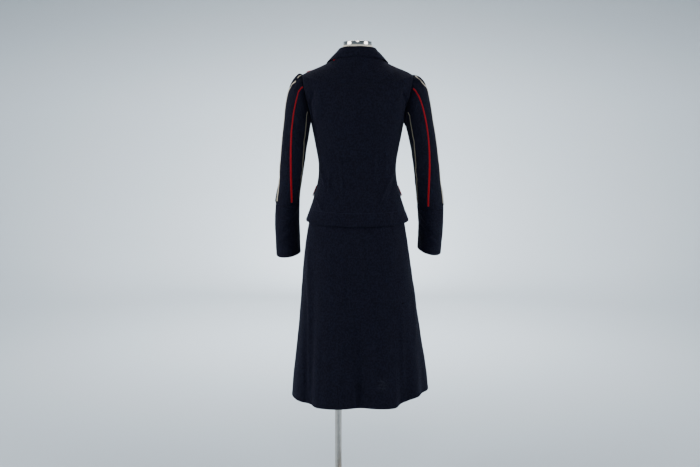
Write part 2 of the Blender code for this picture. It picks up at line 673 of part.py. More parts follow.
def piping(name, side, edge, panel, material):
    """A narrow band just outside a panel's edge, which it follows."""
    middle = panel.reshape(-1, 3).mean(0)
    run = np.gradient(edge, axis=0)
    run = run / np.linalg.norm(run, axis=-1, keepdims=True)
    facing = normals(panel, False).reshape(-1, 3).mean(0)
    away = np.cross(run, facing)
    away = away / np.linalg.norm(away, axis=-1, keepdims=True)
    away = away * np.sign(np.sum(away * (edge - middle), -1, keepdims=True))
    near, far = edge + away * SEAM_GAP, edge + away * (SEAM_GAP + PIPING_WIDTH)
    wall(name, put(side, np.stack([far, near])), material, WALL)


def shoulder_piping(side, front, red):
    heights = np.linspace(SHOULDER_PIPING_END, SHOULDER_PIPING_START, SHOULDER_PIPING_ROWS)
    heights = heights[:, None]
    column = front_column(np.array([SHOULDER_PIPING_ANGLES]), heights)
    grid = laid_on(front, grid_row(heights), column, BRAID_LIFT + BRAID_THICKNESS)
    wall(f"shoulder_piping_{side}", put(side, grid), red, BRAID_THICKNESS)


def body(turn, height):
    """A point of the body all round, turn degrees from the left over the back."""
    turn = np.radians(turn)
    behind = torso(1, turn, height, folds=False)
    before = torso(-1, -turn, height, folds=False)
    return np.where((np.sin(turn) >= 0)[..., None], behind, before)


def collar_rows(turns):
    """The collar's rows: its edge, the fall, over the fold and down the stand to the neck."""
    bend = np.abs(turns - 90)
    level = through(COLLAR["turn"], COLLAR["edge"], bend)
    neck = body(turns, 0 * turns + NECK_HEIGHT)
    near = body(np.stack([turns, turns]), np.stack([level, level + WALL]))
    edge = moved_out(near, COLLAR_LIFT + WALL)[0]
    flat = neck * np.array([1.0, 1.0, 0.0])
    out = flat / np.linalg.norm(flat, axis=-1, keepdims=True)
    up = np.array([0.0, 0.0, 1.0])
    rise = through(COLLAR["turn"], COLLAR["rise"], bend)[:, None]
    inset = through(COLLAR["turn"], COLLAR["inset"], bend)[:, None]
    crest = neck - out * inset + up * rise
    stand = neck - out * (WALL + SEAM_GAP) + up * STAND_FOOT
    high = crest + out * FOLD_WIDTH - up * FOLD_DROP
    inside = crest - out * FOLD_WIDTH * INSIDE_SHARE[0] - up * FOLD_DROP * INSIDE_SHARE[1]
    fall = []
    for t in FALL_ROWS:
        fall.append(edge + (high - edge) * t + out * FALL_BULGE * math.sin(t * math.pi))
    return np.stack([*fall, high, crest + out * FALL_BULGE, inside, (inside + stand) / 2, stand])


def collar(cloth, red):
    turns = np.linspace(90 - COLLAR_END, 90 + COLLAR_END, COLLAR_COLUMNS)
    grid = collar_rows(turns)
    wall("collar", grid, cloth)
    for side, end in COLLAR_PIPING_END.items():
        rows = put(side, grid)[:2, turns <= 90 - end]
        run = rows[1] - rows[0]
        run = run / np.linalg.norm(run, axis=-1, keepdims=True)
        near, far = rows[0] - run * SEAM_GAP, rows[0] - run * (SEAM_GAP + PIPING_WIDTH)
        edge = moved_out(np.stack([far, near]), COLLAR_PIPING_LIFT)
        wall(f"collar_piping_{side}", put(side, edge), red, BRAID_THICKNESS)


def buttons(plastic):
    """Buttons down the middle, on the right front, which is worn on top."""
    grid = mirrored(front_grid(lifted=True))
    for number, level in enumerate(BUTTON_LEVELS, start=1):
        row = grid_row(level)
        places = np.arange(FRONT_COLUMNS, dtype=float)
        column = np.interp(0.0, sampled(grid, row, places)[:, 0], places)
        foot = laid_on(grid, row, column, BUTTON_LIFT)
        out = laid_on(grid, row, column, 1.0) - sampled(grid, row, column)
        turn = Vector(out).to_track_quat("Z", "Y").to_matrix()
        rim = BUTTON_RADIUS - BUTTON_EDGE
        high = BUTTON_THICKNESS - BUTTON_EDGE
        profile = [(0, 0), (rim, 0), (BUTTON_RADIUS, BUTTON_EDGE), (BUTTON_RADIUS, high)]
        profile += [(rim, BUTTON_THICKNESS), (0, BUTTON_THICKNESS)]
        turned(f"button_{number}", profile, foot, plastic, 20, turn)


def arm_grid(table, rows, proud=0.0):
    phis = np.linspace(0, 2 * math.pi, ARM_COLUMNS, endpoint=False)
    return arm(table, phis[None, :], np.asarray(rows, float)[::-1, None], proud)


def arms(cloth, red, cream):
    for side, table in (("left", ARM_LEFT), ("right", ARM_RIGHT)):
        grid = arm_grid(table, SLEEVE_ROWS)
        wall(f"sleeve_{side}", put(side, grid), cloth, closed=True)
        for stripe, marks in STRIPES.items():
            braid(f"{stripe}_{side}", side, grid, marks[side], red if "red" in stripe else cream)
        above, below = arm_sides(table, CUFF_ROW)[0], arm_sides(table, CUFF_ROW + 1)[0]
        gap = SEAM_GAP / np.linalg.norm(above - below)
        cuff = arm_grid(table, (CUFF_ROW + gap, *CUFF_ROWS), CUFF_PROUD)
        wall(f"cuff_{side}", put(side, cuff), cloth, closed=True)


def braid(name, side, sleeve, marks, material):
    """A narrow braid down a sleeve, on the sleeve's own points."""
    between = [row for row in SLEEVE_ROWS if STRIPE_START_ROW < row < STRIPE_END_ROW]
    rows = np.array([STRIPE_START_ROW, *between, STRIPE_END_ROW])[::-1]
    at = np.interp(rows, SLEEVE_ROWS, np.arange(len(SLEEVE_ROWS))[::-1])
    middle = through(np.array(STRIPE_MARK_ROWS, float), np.array(marks, float), rows)
    column = middle / 360 * ARM_COLUMNS
    before = sampled(sleeve, at, column - 0.5, closed=True)
    after = sampled(sleeve, at, column + 0.5, closed=True)
    half = BRAID_WIDTH / 2 / np.linalg.norm(after - before, axis=-1)
    edges = column[:, None] + half[:, None] * np.array([[-1.0, 1.0]])
    grid = laid_on(sleeve, at[:, None], edges, BRAID_LIFT + BRAID_THICKNESS, closed=True)
    wall(name, put(side, grid), material, BRAID_THICKNESS)


def skirt_pieces(cloth):
    heights = np.array(SKIRT_LEVELS)
    for name, start in (("skirt_back", 0.0), ("skirt_front", math.pi)):
        angles = start + np.linspace(0, math.pi, SKIRT_COLUMNS)
        grid = skirt(angles[None, :], heights[:, None])
        grid[:, 0] = towards(grid[:, 0], grid[:, 1], SEAM_GAP / 2)
        grid[:, -1] = towards(grid[:, -1], grid[:, -2], SEAM_GAP / 2)
        wall(name, grid, cloth)
    angles = np.linspace(0, 2 * math.pi, BAND_COLUMNS, endpoint=False)
    levels = np.array([SKIRT_TOP + SEAM_GAP, BAND_TOP])
    grid = skirt(angles[None, :], levels[:, None])
    wall("skirt_waistband", grid, cloth, BAND_WALL, closed=True)


def form_ring(height):
    """A ring of the dress form, flat at its sides where the armholes are."""
    angle = np.radians(np.linspace(FORM_SIDE_ANGLE, 180 - FORM_SIDE_ANGLE, FORM_COLUMNS))
    across, deep = np.cos(angle), np.sin(angle)
    halves = []
    for side, name in ((1, "back"), (-1, "front")):
        x = read(FORM, "half_width", height) * across
        y = read(FORM, name, height) * deep ** read(FORM, "roundness", height)
        y = y + armhole_depth(height) * FORM_ARMHOLE * (1 - deep) ** ARMHOLE_FADE
        z = height - read(FORM, f"{name}_drop", height) * deep**2
        if side < 0:
            y = y + bust(x, z)
        points = np.stack([x, side * y, z], -1)
        halves.append(points if side > 0 else points[::-1])
    return np.concatenate(halves)


def dress_form(jersey, chrome):
    shape = bmesh.new()
    rows = vertex_rows(shape, [form_ring(height) for height in FORM["height"]])
    skin(shape, rows, closed=True)
    shape.faces.new(rows[0])
    shape.faces.new(rows[-1])
    add_object("form_torso", shape, jersey)
    rim = CAP_RADIUS - CAP_EDGE
    high = CAP_THICKNESS - CAP_EDGE
    profile = [(0, 0), (rim, 0), (CAP_RADIUS, CAP_EDGE), (CAP_RADIUS, high)]
    profile += [(rim, CAP_THICKNESS), (0, CAP_THICKNESS)]
    turned("form_neck_cap", profile, (0, 0, FORM["height"][-1] + SEAM_GAP), chrome, 40)


def stand(steel):
    bottom = FORM["height"][0] - SEAM_GAP
    under = bottom - FLANGE_THICKNESS
    profile = [(0, bottom), (FLANGE_RADIUS, bottom), (FLANGE_RADIUS, under), (SOCKET_RADIUS, under)]
    low = under - SOCKET_HEIGHT
    bore = POLE_RADIUS + SEAM_GAP
    profile += [(SOCKET_RADIUS, low), (bore, low), (bore, under), (0, under)]
    turned("stand_flange", profile, (POLE_X, 0, 0), steel)
    pole_low, pole_top = HUB_TOP + SEAM_GAP, under - SEAM_GAP
    profile = [(0, pole_low), (POLE_RADIUS, pole_low), (POLE_RADIUS, pole_top), (0, pole_top)]
    turned("stand_pole", profile, (POLE_X, 0, 0), steel)
    profile = [(0, 0), (BASE_RADIUS, 0), (BASE_RADIUS, BASE_THICKNESS - BASE_EDGE)]
    profile += [(BASE_RADIUS - BASE_EDGE, BASE_THICKNESS), (0, BASE_THICKNESS)]
    turned("stand_base", profile, (0, 0, 0), steel, 48)
    low = BASE_THICKNESS + SEAM_GAP
    profile = [(0, low), (HUB_RADIUS, low), (HUB_RADIUS, HUB_TOP), (0, HUB_TOP)]
    turned("stand_hub", profile, (POLE_X, 0, 0), steel)


def main():
    clear_scene()
    cloth = finish("navy_knit", NAVY)
    red = finish("red_braid", RED)
    cream = finish("cream_braid", CREAM)
    plastic = finish("navy_plastic", NAVY_LIGHT, 0.35)
    jersey = finish("form_jersey", JERSEY, 0.85)
    chrome = finish("chrome", STEEL, 0.06, 1.0)
    steel = finish("satin_steel", STEEL, 0.32, 1.0)
    jacket_back(cloth)
    jacket_fronts(cloth, red)
    collar(cloth, red)
    buttons(plastic)
    arms(cloth, red, cream)
    skirt_pieces(cloth)
    dress_form(jersey, chrome)
    stand(steel)


main()
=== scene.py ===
"""A knitted jacket and skirt on a limbless dress form with a steel stand.

Metres, +Z up. The suit faces -Y and the wearer's left is +X. Every cloth piece starts from the
points of its packed wall, is made into a fine smooth sheet, gets its folds, and is then given
the thickness of the cloth.
"""

import math

import bmesh
import bpy
import numpy as np
from bpy.props import FloatProperty, FloatVectorProperty, IntProperty, PointerProperty
from mathutils import Matrix, Vector
from mathutils.bvhtree import BVHTree


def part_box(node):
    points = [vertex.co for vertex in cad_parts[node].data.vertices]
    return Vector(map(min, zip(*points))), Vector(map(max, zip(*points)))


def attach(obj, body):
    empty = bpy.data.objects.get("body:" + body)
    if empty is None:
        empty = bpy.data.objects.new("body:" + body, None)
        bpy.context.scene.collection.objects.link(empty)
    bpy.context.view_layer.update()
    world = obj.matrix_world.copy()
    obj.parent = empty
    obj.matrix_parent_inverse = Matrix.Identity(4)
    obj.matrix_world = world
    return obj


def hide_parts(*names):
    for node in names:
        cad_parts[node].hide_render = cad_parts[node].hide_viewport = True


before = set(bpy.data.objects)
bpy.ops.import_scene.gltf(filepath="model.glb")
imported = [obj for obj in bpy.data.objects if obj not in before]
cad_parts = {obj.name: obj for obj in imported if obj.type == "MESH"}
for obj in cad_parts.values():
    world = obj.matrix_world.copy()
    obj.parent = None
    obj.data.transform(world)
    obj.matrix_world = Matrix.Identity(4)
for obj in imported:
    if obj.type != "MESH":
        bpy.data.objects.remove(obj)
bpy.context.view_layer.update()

bl_info = {
    "name": "Knitted suit on a dress form",
    "version": (1, 0, 0),
    "blender": (4, 5, 0),
    "location": "3D View > Sidebar > Suit",
    "description": "Dresses the packed form with a knitted jacket and skirt",
    "category": "Add Mesh",
}

BODY = "root"
SIDES = {"left": 1, "right": -1}

# Each sleeve's braids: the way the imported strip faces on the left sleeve, its finish, and its
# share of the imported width
STRIPES = {
    "centre_cream": ((1, 0, 0), "cream", 1.15),
    "back_red": ((0, 1, 0), "red", 1.0),
    # The inner cream braid takes the cream darkened as painted shade, for the shadow under the arm
    "back_cream": ((0, 1, 0), "greyed", 0.72),
    "front_red": ((0, -1, 0), "red", 1.0),
    "front_cream": ((0, -1, 0), "cream", 1.0),
}

# Points of each packed wall: rows from its lower edge up, and columns round it
BACK_GRID, FRONT_GRID = (22, 23), (22, 12)
COLLAR_GRID = (8, 33)
SLEEVE_GRID, CUFF_GRID = (14, 28), (4, 28)
SKIRT_GRID, BAND_GRID = (11, 29), (2, 40)
FLAP_GRID = (3, 8)
BRAID_GRID = (13, 2)

# Points closer than this are one point. A wall's side starts from a face that looks its way,
# within an angle of this cosine, and ends at one of these turns in degrees, the sharpest that
# fits.
WELD, LOOKS_SAME = 0.00001, 0.7
RIM_TURNS = range(80, 29, -5)

# Folds and gathers are in millimetres, and turns round an arm in degrees
MM = 1000

# Folds of the jacket's back: from x, z to x, z, then the depth (a trough is negative), the
# half-width and the bow
BACK_FOLDS = (
    (58, 1165, 50, 1036, 3.6, 5.2, 2), (50, 1036, 26, 1006, 2.6, 5, 3),
    (-60, 1192, -61, 1062, 3.8, 5.2, -2), (-93, 1200, -95, 1112, 2.2, 4.8, 1),
    (93, 1150, 94, 1046, 2.4, 4.8, 0), (18, 1150, 20, 1052, -2.2, 7.5, 2),
    (-18, 1130, -22, 1040, -1.8, 7, -1), (130, 1136, 108, 1074, 2.8, 4.6, 3),
    (120, 1120, 72, 1070, -1.6, 6, 4), (-122, 1122, -68, 1002, 3.2, 5, -4),
    (-126, 1106, -96, 1030, -1.8, 7, 2), (139, 1036, 116, 992, 3, 4.6, 2),
    (147, 1392, 157, 1352, -3, 5, 2), (157, 1362, 151, 1292, -5.2, 5.5, -2),
    (142, 1345, 136, 1300, 1.8, 6.5, 0), (-150, 1396, -162, 1358, -3, 5, -2),
    (-162, 1366, -156, 1290, -5.2, 5.5, 2), (-146, 1350, -140, 1298, 1.8, 6.5, 0),
    (60, 1345, 112, 1300, 1.4, 10, 4), (-64, 1340, -116, 1292, 1.6, 10, -4),
    (70, 990, 78, 946, 1.8, 7, 0), (-30, 994, -36, 946, -2, 9, 1), (-104, 990, -112, 950, 2, 7, 0),
)

# Folds of each front, in the same order. The right front's are mirrored.
FRONT_FOLDS = {
    "left": (
        (140, 1290, 92, 1268, -2, 6, 3), (142, 1262, 98, 1252, 1.4, 6, 2),
        (104, 1200, 96, 1092, -1.5, 8, 3), (60, 1180, 58, 1070, 1.4, 7, -2),
        (122, 1150, 92, 1086, 1.9, 6, 3), (108, 1395, 120, 1310, -2, 8, -3),
        (80, 990, 90, 955, 1.5, 8, 0), (40, 1380, 52, 1330, 1.2, 9, 2),
    ),
    "right": (
        (142, 1284, 96, 1270, -1.7, 6, 2), (138, 1250, 100, 1246, 1.5, 6, 3),
        (98, 1196, 92, 1080, -1.7, 8, 2), (64, 1168, 60, 1062, 1.2, 7, 2),
        (124, 1142, 98, 1090, 1.5, 6, -3), (110, 1400, 118, 1318, -1.9, 8, -2),
        (50, 992, 54, 956, 1.4, 8, 1), (46, 1372, 60, 1316, 1.4, 9, -2),
    ),
}

# Gathers of a sleeve's head: the turn round the sleeve in degrees from the outer side over
# the back, the length down from the seam, the depth and the half-width
HEAD_GATHERS = {
    "left": (
        (-74, 30, -1, 4), (-60, 44, 1.4, 4.5), (-49, 36, -1.4, 3.6), (-38, 58, 1.8, 4.5),
        (-27, 46, -1.7, 3.6), (-15, 66, 2, 4.5), (-5, 52, -2, 3.4), (6, 72, 2.2, 4.2),
        (16, 60, -2.1, 3.4), (27, 64, 1.9, 4.4), (38, 46, -1.7, 3.6), (49, 54, 1.6, 4.5),
        (61, 34, -1.2, 4), (75, 42, 1, 4.8),
    ),
    "right": (
        (-72, 34, -1, 4.2), (-58, 40, 1.3, 4.6), (-46, 40, -1.3, 3.6), (-34, 52, 1.7, 4.4),
        (-23, 50, -1.6, 3.6), (-11, 60, 1.9, 4.4), (0, 46, -1.8, 3.4), (11, 66, 2, 4.4),
        (22, 50, -1.8, 3.6), (34, 58, 1.8, 4.4), (46, 42, -1.5, 3.8), (58, 46, 1.3, 4.6),
        (72, 30, -1, 4.2),
    ),
}

# Folds of a sleeve or cuff: the turn in degrees and the length down from its upper seam, at
# both ends, then the depth, the half-width and the bow
SLEEVE_FOLDS = {
    "left": (
        (120, 60, 60, 150, 1.7, 8, 4), (150, 110, 100, 190, -1.6, 7.5, 3),
        (175, 225, 110, 262, 1.7, 7, 4), (170, 262, 105, 290, -1.7, 6.5, 3),
        (176, 300, 120, 318, 1.3, 7, 2), (40, 120, 30, 260, 1, 9, 3),
        (-60, 70, -110, 150, 1.7, 8, 3), (-96, 190, -150, 240, -2.2, 7.5, 4),
        (-80, 232, -150, 262, 2, 7, 3), (-88, 262, -152, 286, -1.7, 6.5, 3),
        (-30, 160, -40, 330, 1, 9, 2), (20, 350, 60, 420, -1.2, 8, 2), (0, 310, 2, 450, 5.2, 28, 0),
    ),
    "right": (
        (116, 60, 70, 160, 1.6, 8, 4), (146, 120, 90, 196, -1.6, 7.5, 3),
        (172, 236, 104, 270, 1.9, 7, 3), (170, 272, 112, 300, -1.6, 6.5, 3),
        (30, 150, 40, 300, 1, 9, 2), (-64, 80, -108, 160, 1.6, 8, 3),
        (-90, 200, -150, 246, -2, 7.5, 4), (-84, 240, -150, 272, 1.9, 7, 3),
        (-36, 180, -44, 330, 1, 9, 2), (24, 340, 70, 410, -1.2, 8, 2),
        (-10, 310, -12, 450, 4.6, 25, 0),
    ),
}
CUFF_FOLDS = {
    "left": (
        (150, 12, 60, 62, 2.7, 6.5, 3), (140, 50, 50, 104, -3, 7, 4), (100, 98, 30, 140, 2.2, 7, 2),
        (-40, 20, -120, 60, -2.7, 7, 3), (-30, 80, -110, 124, 2.6, 7, 3),
    ),
    "right": (
        (140, 20, 70, 66, 3.5, 6, 3), (150, 58, 62, 100, -3.2, 6.5, 3),
        (96, 90, 40, 132, 2.6, 7, 2), (-44, 16, -124, 54, -2.7, 7, 3),
        (-26, 74, -104, 116, 2.6, 7, 3),
    ),
}

# Folds of the skirt's two panels, in the same order as the jacket's
SKIRT_BACK_FOLDS = (
    (34.5, 790, 40, 640, -1.8, 5.5, 1), (170.5, 730, 171.5, 360, -4.5, 8.5, 1),
    (164, 900, 159, 350, 3.3, 8, -4), (-148, 655, -153, 380, 3.6, 8.5, 1),
    (-153, 390, -168, 345, 3, 8, 1), (-193, 740, -196, 548, 2.7, 8, 0),
    (8, 620, -14, 352, -5.1, 15, 2), (-6, 430, -2, 350, -3.3, 7, 0), (56, 560, 60, 356, 3, 15, 2),
    (-60, 520, -70, 356, 3.3, 16, -3), (118, 640, 124, 356, -2.4, 12, 2),
    (-108, 620, -116, 352, -2.1, 12, 2), (-20, 930, -26, 780, 1.2, 12, 1),
    (90, 900, 96, 720, 1.4, 12, 2),
)
SKIRT_FRONT_FOLDS = (
    (150, 760, 158, 352, -5.9, 10, 2), (126, 820, 132, 352, 4.6, 11, 3),
    (66, 640, 76, 352, -5.5, 13, 3), (22, 560, 24, 352, 4.2, 14, -2),
    (-34, 700, -42, 352, -5, 12, 2), (-90, 780, -101, 352, 4.6, 13, 3),
    (-140, 640, -152, 352, -5.9, 11, -2), (10, 940, 6, 800, 1.7, 11, 1),
)

# Runs where a trim lies lower or higher, in metres: the axis, from, to, the length over which
# it starts, and the change. A gather folds over the left sleeve's centre braid, and the collar
# covers most of its piping behind.
LIFT_CHANGES = {
    "centre_cream_left": ((2, 1.4262, 1.4385, 0.0022, -0.0028), (2, 1.0, 1.1, 0.030, 0.0009)),
    "collar_piping_left": (
        (1, -0.034, 0.0290, 0.010, -0.0030), (1, 0.0322, 0.0600, 0.0022, -0.0030),
    ),
    "collar_piping_right": ((1, -0.034, 0.0600, 0.010, -0.0030),),
    "shoulder_piping_left": ((0, 0.1500, 0.1900, 0.020, 0.0030),),
}
LIFT_END_FADE = 0.0022

# A fold fades over this share of its length at each end, and starts at this share of its depth
FOLD_FADE, FOLD_START = 0.35, 0.4

# The back of the armhole is drawn in by the sleeve's weight: how far, over what distance from
# the seam, and between which heights and how deep in Y, each with the length of its start
ARMHOLE_PULL, ARMHOLE_REACH = 0.0075, 0.016
ARMHOLE_LOW, ARMHOLE_HIGH, ARMHOLE_DEEP = (1.288, 0.024), (1.408, 0.030), (0.005, 0.030)

# A sleeve's radius, by which turns round it are made lengths, the length over which its folds
# fade at a seam, and where the head's gathers start and end
ARM_ROUND, ARM_SEAM_FADE = 0.052, 0.006
GATHER_START, GATHER_END = 0.004, 1.15

# Columns over which a panel's folds fade at its side seams
PANEL_SEAM_COLUMNS = 3

# Cells of the smaller sheets up and across, the waistband's thickness, and the facets of a rim
ARM_CELLS, COLLAR_CELLS = (0.0033, 0.0033), (0.0016, 0.0030)
FLAP_CELLS, BAND_CELLS = (0.0022, 0.0026), (0.0040, 0.0060)
BAND_WALL = 0.003
RIM_FACETS = 3

# A trim's dome across, the waver of its edges and its least thickness, and a braid's foot
DOME_POWER, WAVER, TRIM_LEAST = 0.6, 0.03, 0.0006
BRAID_SUNK = 0.0002
BRAID_STEP, PIPING_STEP = 0.0012, 0.0010

# Each braid's finish: its name, its colour, the painted shade between its threads, and its slot
BRAID_FINISHES = {
    "red": ("red_braid_plait", "red", (0.17, 0.0015, 0.0035), "red_braid"),
    "cream": ("cream_braid_plait", "cream", (0.40, 0.34, 0.25), "cream_braid"),
    # The last is the cream braid darkened as painted shade, for the braid in the shadow under the
    # arm
    "greyed": ("cream_braid_greyed", "cream_greyed", (0.13, 0.12, 0.09), "cream_braid"),
}

# Each piping: the way its packed strip faces on the left, the strip's points on the left and
# on the right, how far it stands out, how far its foot is sunk, and its share of the width
PIPINGS = {
    "collar_piping": ((0.7, 0, 0.7), ((2, 12), (2, 9)), -0.0004, 0.0018, 0.8),
    "shoulder_piping": ((0, -0.5, 0.85), ((5, 2), (5, 2)), -0.0004, 0.0022, 0.7),
    "flap_piping": ((0.7, -0.7, 0), ((2, 12), (2, 12)), 0.0004, 0.0012, 1.0),
}

# Small marks on the cloth: centre, radius, soft edge, stretch, shade and share
MARKS = {
    "jacket": (
        ((0.0178, 0.093, 1.462), 0.0016, 0.0030, (1, 0, 0.24), (0.003, 0.003, 0.006), 0.7),
    ),
    "plain": (
        ((0.0222, 0.070, 1.4975), 0.0010, 0.0016, (1, 0, 1), (0.06, 0.09, 0.22), 0.7),
    ),
    "skirt": (
        ((-0.0834, 0.19, 0.4280), 0.0030, 0.0220, (1, 0, 0.8), (0.032, 0.034, 0.046), 0.26),
        ((-0.1521, 0.15, 0.6879), 0.0022, 0.0026, (1, 0, 1), (0.001, 0.001, 0.002), 1.0),
        ((-0.0798, 0.12, 0.9342), 0.0006, 0.0009, (1, 0, 1), (0.12, 0.13, 0.16), 0.6),
    ),
}

# The hem's sewn stitches
STITCH_LENGTH, STITCH_HALF_WIDTH = 0.0032, 0.0007

# Second shades of the materials
FUZZ, STITCH_LINE = (0.014, 0.017, 0.032, 1), (0.020, 0.024, 0.042, 1)
KNIT_SHEEN = (0.42, 0.43, 0.66, 1)
JERSEY_WORN, JERSEY_SEAM = (0.66, 0.60, 0.48, 1), (0.42, 0.37, 0.28, 1)
BUTTON_CLOUD, THREAD_PALE = (0.012, 0.014, 0.027, 1), (0.05, 0.058, 0.09, 1)

# Round pieces of steel: facets, the rim, slope and depth of a sunk top, and the width and
# steps of the rounded edges
TURNED = {
    "form_neck_cap": (128, (0.006, 0.0015, 0.0012), 0.0016, 4),
    "stand_pole": (64, None, 0.0006, 2),
    "stand_hub": (72, (0.0022, 0.0012, 0.0006), 0.0012, 3),
    "stand_base": (160, (0.010, 0.0015, 0.0007), 0.0022, 4),
}

# The button's holes and ties: how far off its middle, and their radius
HOLE_OFF, HOLE_RADIUS, TIE_RADIUS = 0.0021, 0.0009, 0.00055

# The flange's plate, and the radius of its socket outside and inside
PLATE, SOCKET, BORE = 0.008, 0.0185, 0.0124

# How crisp the form's ends stay
CREASE = 0.85

# Rings of the studio's paper beyond its flat floor: radius and height
SWEEP_RINGS = (
    (4.0, 0.03), (4.6, 0.14), (5.2, 0.37), (5.7, 0.74), (6.1, 1.25), (6.4, 1.9), (6.6, 2.7),
    (6.75, 3.7), (6.8, 7.0),
)

# Heights between which the paper darkens upwards as painted shade, and its shade above them
PAPER_LOW, PAPER_HIGH, PAPER_PAINTED_SHADE = 1.4, 2.8, 0.70

# Shares of the power of the near and far floor lights, and of the middle and side glow lights
NEAR_SHARE, FAR_SHARE, GLOW_SHARE, SIDE_GLOW_SHARE = 0.44, 0.64, 0.68, 0.07
AIR_SHADE = (0.86, 0.92, 1.0, 1)

# The camera's turn and roll, in degrees
CAMERA_YAW, CAMERA_ROLL = 180.045, 0.07

# Soft unevenness of worn knitted cloth: waves a metre across and up, height and phase
UNEVENNESS = (
    (14.0, 5.0, 0.00022, 0.3), (-9.0, 12.0, 0.00020, 1.9), (23.0, -8.0, 0.00014, 4.1),
    (6.0, 19.0, 0.00014, 2.6), (-31.0, -13.0, 0.00009, 5.2), (17.0, 37.0, 0.00008, 0.9),
)


def length_property(name, description, default):
    return FloatProperty(name=name, description=description, default=default, unit="LENGTH")


def shade_property(name, description, default):
    return FloatVectorProperty(name=name, description=description, default=default,
                               subtype="COLOR")


def level_property(name, description, default):
    return FloatProperty(name=name, description=description, default=default)


class ClothSizes(bpy.types.PropertyGroup):
    """Sizes of the knitted cloth and its trims."""

    wall: length_property("Cloth", "Thickness of the knit", 0.0020)
    rim: length_property("Rim", "How far an edge is rounded back", 0.0005)
    cell: length_property("Cell", "Size of a sheet's finest faces", 0.0029)
    skirt_cell: length_property("Skirt cell", "Height of a face on the skirt", 0.0058)
    stitch_width: length_property("Wale", "Width of one knitted stitch", 0.0015)
    stitch_height: length_property("Course", "Height of one knitted stitch", 0.0011)
    hem_line: length_property("Hem line", "Height of the hem's stitching", 0.044)
    braid_proud: length_property("Braid", "How far a braid stands out", 0.0014)
    braid_pitch: length_property("Braid pitch", "Length of one plait of a braid", 0.0022)
    cord_segments: IntProperty(
        name="Trim facets", description="Facets across a braid or a piping", default=8, min=4
    )


class FinishColours(bpy.types.PropertyGroup):
    """Colours of the suit, the form and its stand."""

    navy: shade_property("Navy", "Knitted cloth", (0.0031, 0.0034, 0.0079))
    # The lighter navy: the pale end of the random mottling, and the stitch tops painted as lit
    navy_raised: shade_property("Navy, raised", "Tops of the stitches", (0.0096, 0.0102, 0.0206))
    red: shade_property("Red", "Red braid", (0.400, 0.0062, 0.0130))
    cream: shade_property("Cream", "Cream braid", (0.72, 0.66, 0.54))
    # The cream braid darkened as painted shade, for the braid in the shadow under the arm
    cream_greyed: shade_property(
        "Cream, greyed", "Cream braid rubbed grey by the body", (0.27, 0.25, 0.19)
    )
    button: shade_property("Button", "Buttons", (0.0055, 0.0062, 0.0135))
    jersey: shade_property("Jersey", "Cover of the form", (0.80, 0.75, 0.64))
    steel: shade_property("Steel", "Stand and cap", (0.60, 0.57, 0.53))


class StageSizes(bpy.types.PropertyGroup):
    """The studio: its floor, its lights and its camera."""

    paper: shade_property("Paper", "Backdrop and floor", (0.485, 0.548, 0.600))
    floor_radius: length_property("Floor", "Radius of the flat floor", 3.4)
    side_power: level_property("Side lights", "Power of each side light", 120.0)
    right_share: level_property("Right share", "Right light as a share", 0.86)
    front_power: level_property("Front light", "Power of the front light", 62.0)
    floor_power: level_property("Floor lights", "Power of both floor lights", 275.0)
    glow_power: level_property("Glow", "Power of the backdrop's lights", 96.0)
    air: level_property("Air", "Strength of the light from all round", 0.12)
    lens: level_property("Lens", "Focal length in millimetres", 49.63)
    camera_pitch: FloatProperty(
        name="Pitch", description="How far the camera looks down", subtype="ANGLE",
        default=math.radians(5.54),
    )
    camera_place: FloatVectorProperty(
        name="Camera", description="Where the camera stands", subtype="XYZ", unit="LENGTH",
        default=(0.0223, 3.3, 1.2309),
    )


def ease(t):
    t = np.clip(t, 0.0, 1.0)
    return t * t * (3 - 2 * t)


def unit(vectors):
    return vectors / np.maximum(np.linalg.norm(vectors, axis=-1, keepdims=True), 1e-12)


# Packed walls as grids of points


def welded(node):
    """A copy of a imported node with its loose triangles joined."""
    shape = bmesh.new()
    shape.from_mesh(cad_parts[node].data)
    bmesh.ops.remove_doubles(shape, verts=shape.verts, dist=WELD)
    shape.faces.ensure_lookup_table()
    shape.normal_update()
    return shape


def sheet_faces(shape, facings, turn):
    """The faces of a wall's own side: grown over gentle turns from the face that faces each
    of the given ways and lies farthest along it, or along a second way that is given."""
    chosen = set()
    for facing in facings:
        way = np.reshape(facing, (-1, 3))
        facing, along = Vector(way[0]).normalized(), Vector(way[-1])
        ahead = [face for face in shape.faces if face.normal.dot(facing) > LOOKS_SAME]
        start = max(ahead, key=lambda face: face.calc_center_median().dot(along))
        reach, chosen_here = [start], {start}
        while reach:
            face = reach.pop()
            for edge in face.edges:
                for other in edge.link_faces:
                    if other not in chosen_here and face.normal.angle(other.normal) < turn:
                        chosen_here.add(other)
                        reach.append(other)
        chosen |= chosen_here
    return chosen


def steps_from(starts, beside):
    """How many edges each point lies from the nearest of the starts."""
    steps, reach = {point: 0 for point in starts}, list(starts)
    while reach:
        after = []
        for point in reach:
            for other in beside[point]:
                if other not in steps:
                    steps[other] = steps[point] + 1
                    after.append(other)
        reach = after
    return steps


def edge_loops(faces):
    """The open edges of some faces, as closed loops of points."""
    follow = {}
    for face in faces:
        for loop in face.loops:
            if sum(other in faces for other in loop.edge.link_faces) == 1:
                follow[loop.vert] = loop.link_loop_next.vert
    loops = []
    while follow:
        start = next(iter(follow))
        loop = [start]
        while follow[loop[-1]] is not start:
            loop.append(follow[loop[-1]])
        for point in loop:
            del follow[point]
        loops.append(loop)
    return loops


def corner_of(loop, rows, cols):
    """Where a panel's outline starts, so that its sharpest turns are its four corners."""
    places = np.array([point.co for point in loop])
    run = unit(np.roll(places, -1, 0) - places)
    turn = 1 - np.sum(run * np.roll(run, 1, 0), -1)
    corners = np.array([0, cols - 1, cols + rows - 2, 2 * cols + rows - 3])
    scores = [turn[(corners + start) % len(loop)].sum() for start in range(len(loop))]
    return int(np.argmax(scores)), max(scores)


